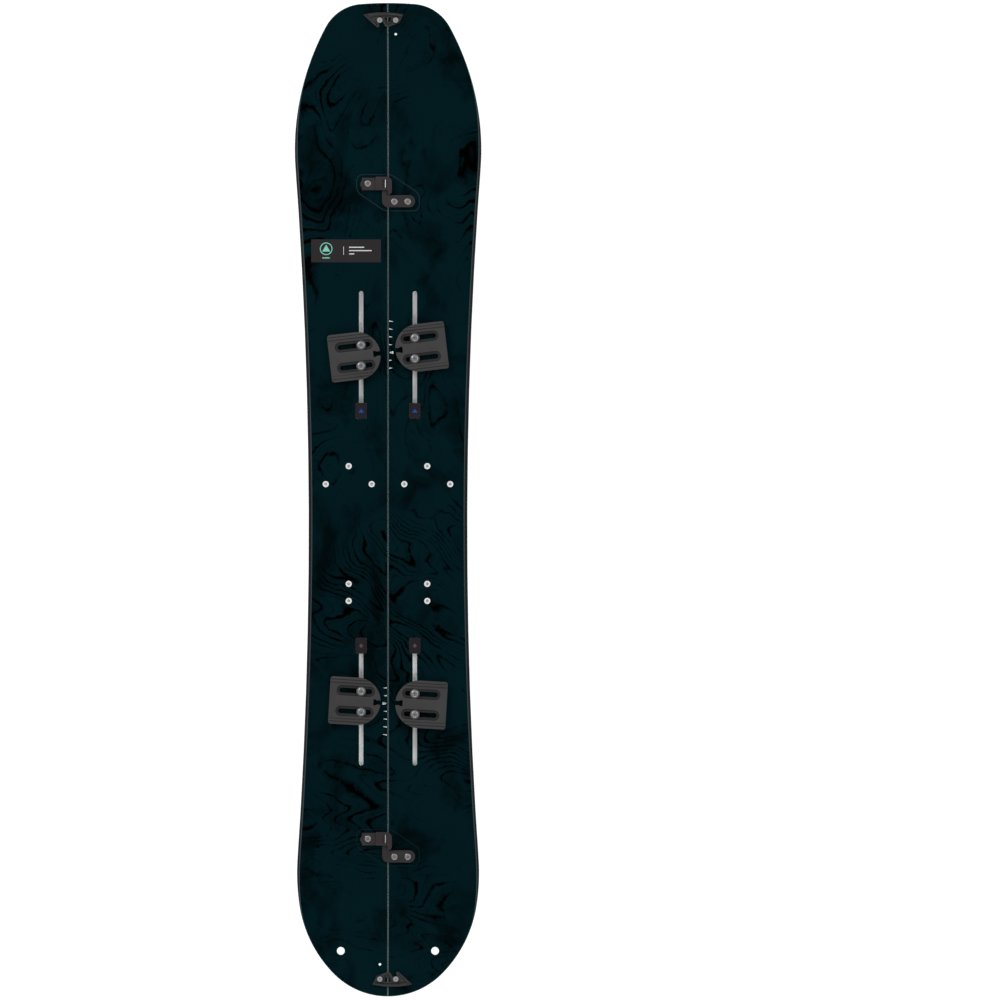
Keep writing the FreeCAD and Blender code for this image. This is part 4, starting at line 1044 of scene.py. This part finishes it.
# dark strokes along a clip's grooves, raised rim and right post, painted shade of its relief, in the plate's
# own plan with its posts on y = 0
CLIP_SHADE_LINES = [
    [(-28.6, 4.9), (-18.0, 7.0), (0.0, 7.8), (14.0, 7.0), (21.6, 5.3)],
    [(-27.4, 3.0), (-21.0, -2.6), (-15.8, -8.4)],
    [(-5.2, 5.0), (-3.9, 0.6), (-2.2, -5.0), (0.0, -6.8), (4.2, -5.0), (7.2, 2.0)],
]
for clip, way in (("nose_clip", 1), ("tail_clip", -1)):
    posts = loose_parts(clip.replace("clip", "pivot_post"))
    middle = posts[0]["middle"]
    matrix = top_frame(0, middle[1])
    if way < 0:
        matrix = matrix @ Matrix.Rotation(math.pi, 4, "Z")
    points = mesh_arrays(clip)[0] * MM
    level = max((matrix.inverted() @ Vector(p)).z for p in points) / MM
    shapes = []
    for line in CLIP_SHADE_LINES + [circle(12.75, 0, 4.9, 40) + [(17.65, 0)]]:
        for quad in stroke(line, 0.9, closed=False):
            shapes.append(prism(quad, level - 0.3, level + 0.03, matrix))
    # the strokes are dark strips laid on the plate as painted shade
    lines = prisms(clip + "_grooves", shapes, [MATERIALS["clip_groove_shade"]])
    finish_mesh(lines, clip, [clip], 20)

for side in SIDES:
    for end, finish in (("front", "ink_blue"), ("rear", "ink_grey")):
        low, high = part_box(f"{side}_{end}_plug")
        x, y = (low.x + high.x) / 2 / MM, (low.y + high.y) / 2 / MM
        if end == "front":
            outline = [(-4.3, -2.9), (4.3, -2.9), (0.0, 3.4)]
        else:
            outline = [(-3.2, 0.0), (0.0, -3.6), (3.2, 0.0), (0.0, 3.6)]
        matrix = top_frame(x, y)
        lift = high.z / MM - float(top_z([y])[0])
        shape = prism(outline, lift - 0.2, lift + 0.05, matrix)
        mark = prisms(f"{side}_{end}_plug_mark", [shape], [MATERIALS[finish]])
        finish_mesh(mark, side + "_ski", [f"{side}_{end}_plug"], 20)

# ---------------------------------------------------------------- floor, light and camera
FLOOR_HALF, FLOOR_LEVEL = 12, -0.004
LIGHTS_AIM = (0.15, 0, 0)
CAMERA_PLACE = (0.1786, 0.0, 13.3)


def area_light(name, place, size, power):
    light = bpy.data.lights.new(name, "AREA")
    light.shape, light.size, light.size_y = "RECTANGLE", size[0], size[1]
    light.energy = power
    obj = bpy.data.objects.new(name, light)
    bpy.context.scene.collection.objects.link(obj)
    obj.location = place
    obj.rotation_euler = (Vector(LIGHTS_AIM) - Vector(place)).to_track_quat("-Z", "Y").to_euler()
    return obj


floor_corners = [(x * FLOOR_HALF, y * FLOOR_HALF, FLOOR_LEVEL)
                 for x, y in ((-1, -1), (1, -1), (1, 1), (-1, 1))]
floor = new_object("floor", floor_corners, [(0, 1, 2, 3)], [])
paper = Finish("floor_paper", (0.35, 0.35, 0.35, 1), 0.85, 0.0, 0.05)
paper.set("Emission Color", (1, 1, 1, 1))
paper.set("Emission Strength", 0.88)
paper.bump(paper.noise(paper.place, 300.0).outputs["Fac"], 0.00003)
floor.data.materials.append(paper.material)

world = bpy.data.worlds.new("studio")
bpy.context.scene.world = world
world.use_nodes = True
world.node_tree.nodes["Background"].inputs["Color"].default_value = (1, 1, 1, 1)
world.node_tree.nodes["Background"].inputs["Strength"].default_value = 0.22

lights = [
    area_light("key", (-2.5, 2.2, 1.7), (1.8, 1.8), 104),
    area_light("fill", (2.5, 1.0, 2.2), (2.4, 2.4), 41),
    area_light("back", (0.3, -2.9, 2.2), (2.6, 1.6), 45),
]

camera_data = bpy.data.cameras.new("camera")
camera_data.lens, camera_data.sensor_width = 300, 36
camera = bpy.data.objects.new("camera", camera_data)
bpy.context.scene.collection.objects.link(camera)
camera.location = CAMERA_PLACE
bpy.context.scene.camera = camera
bpy.context.scene.view_settings.view_transform = "Standard"

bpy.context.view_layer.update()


def plain(bounds):
    return [[float(c) for c in corner] for corner in bounds]
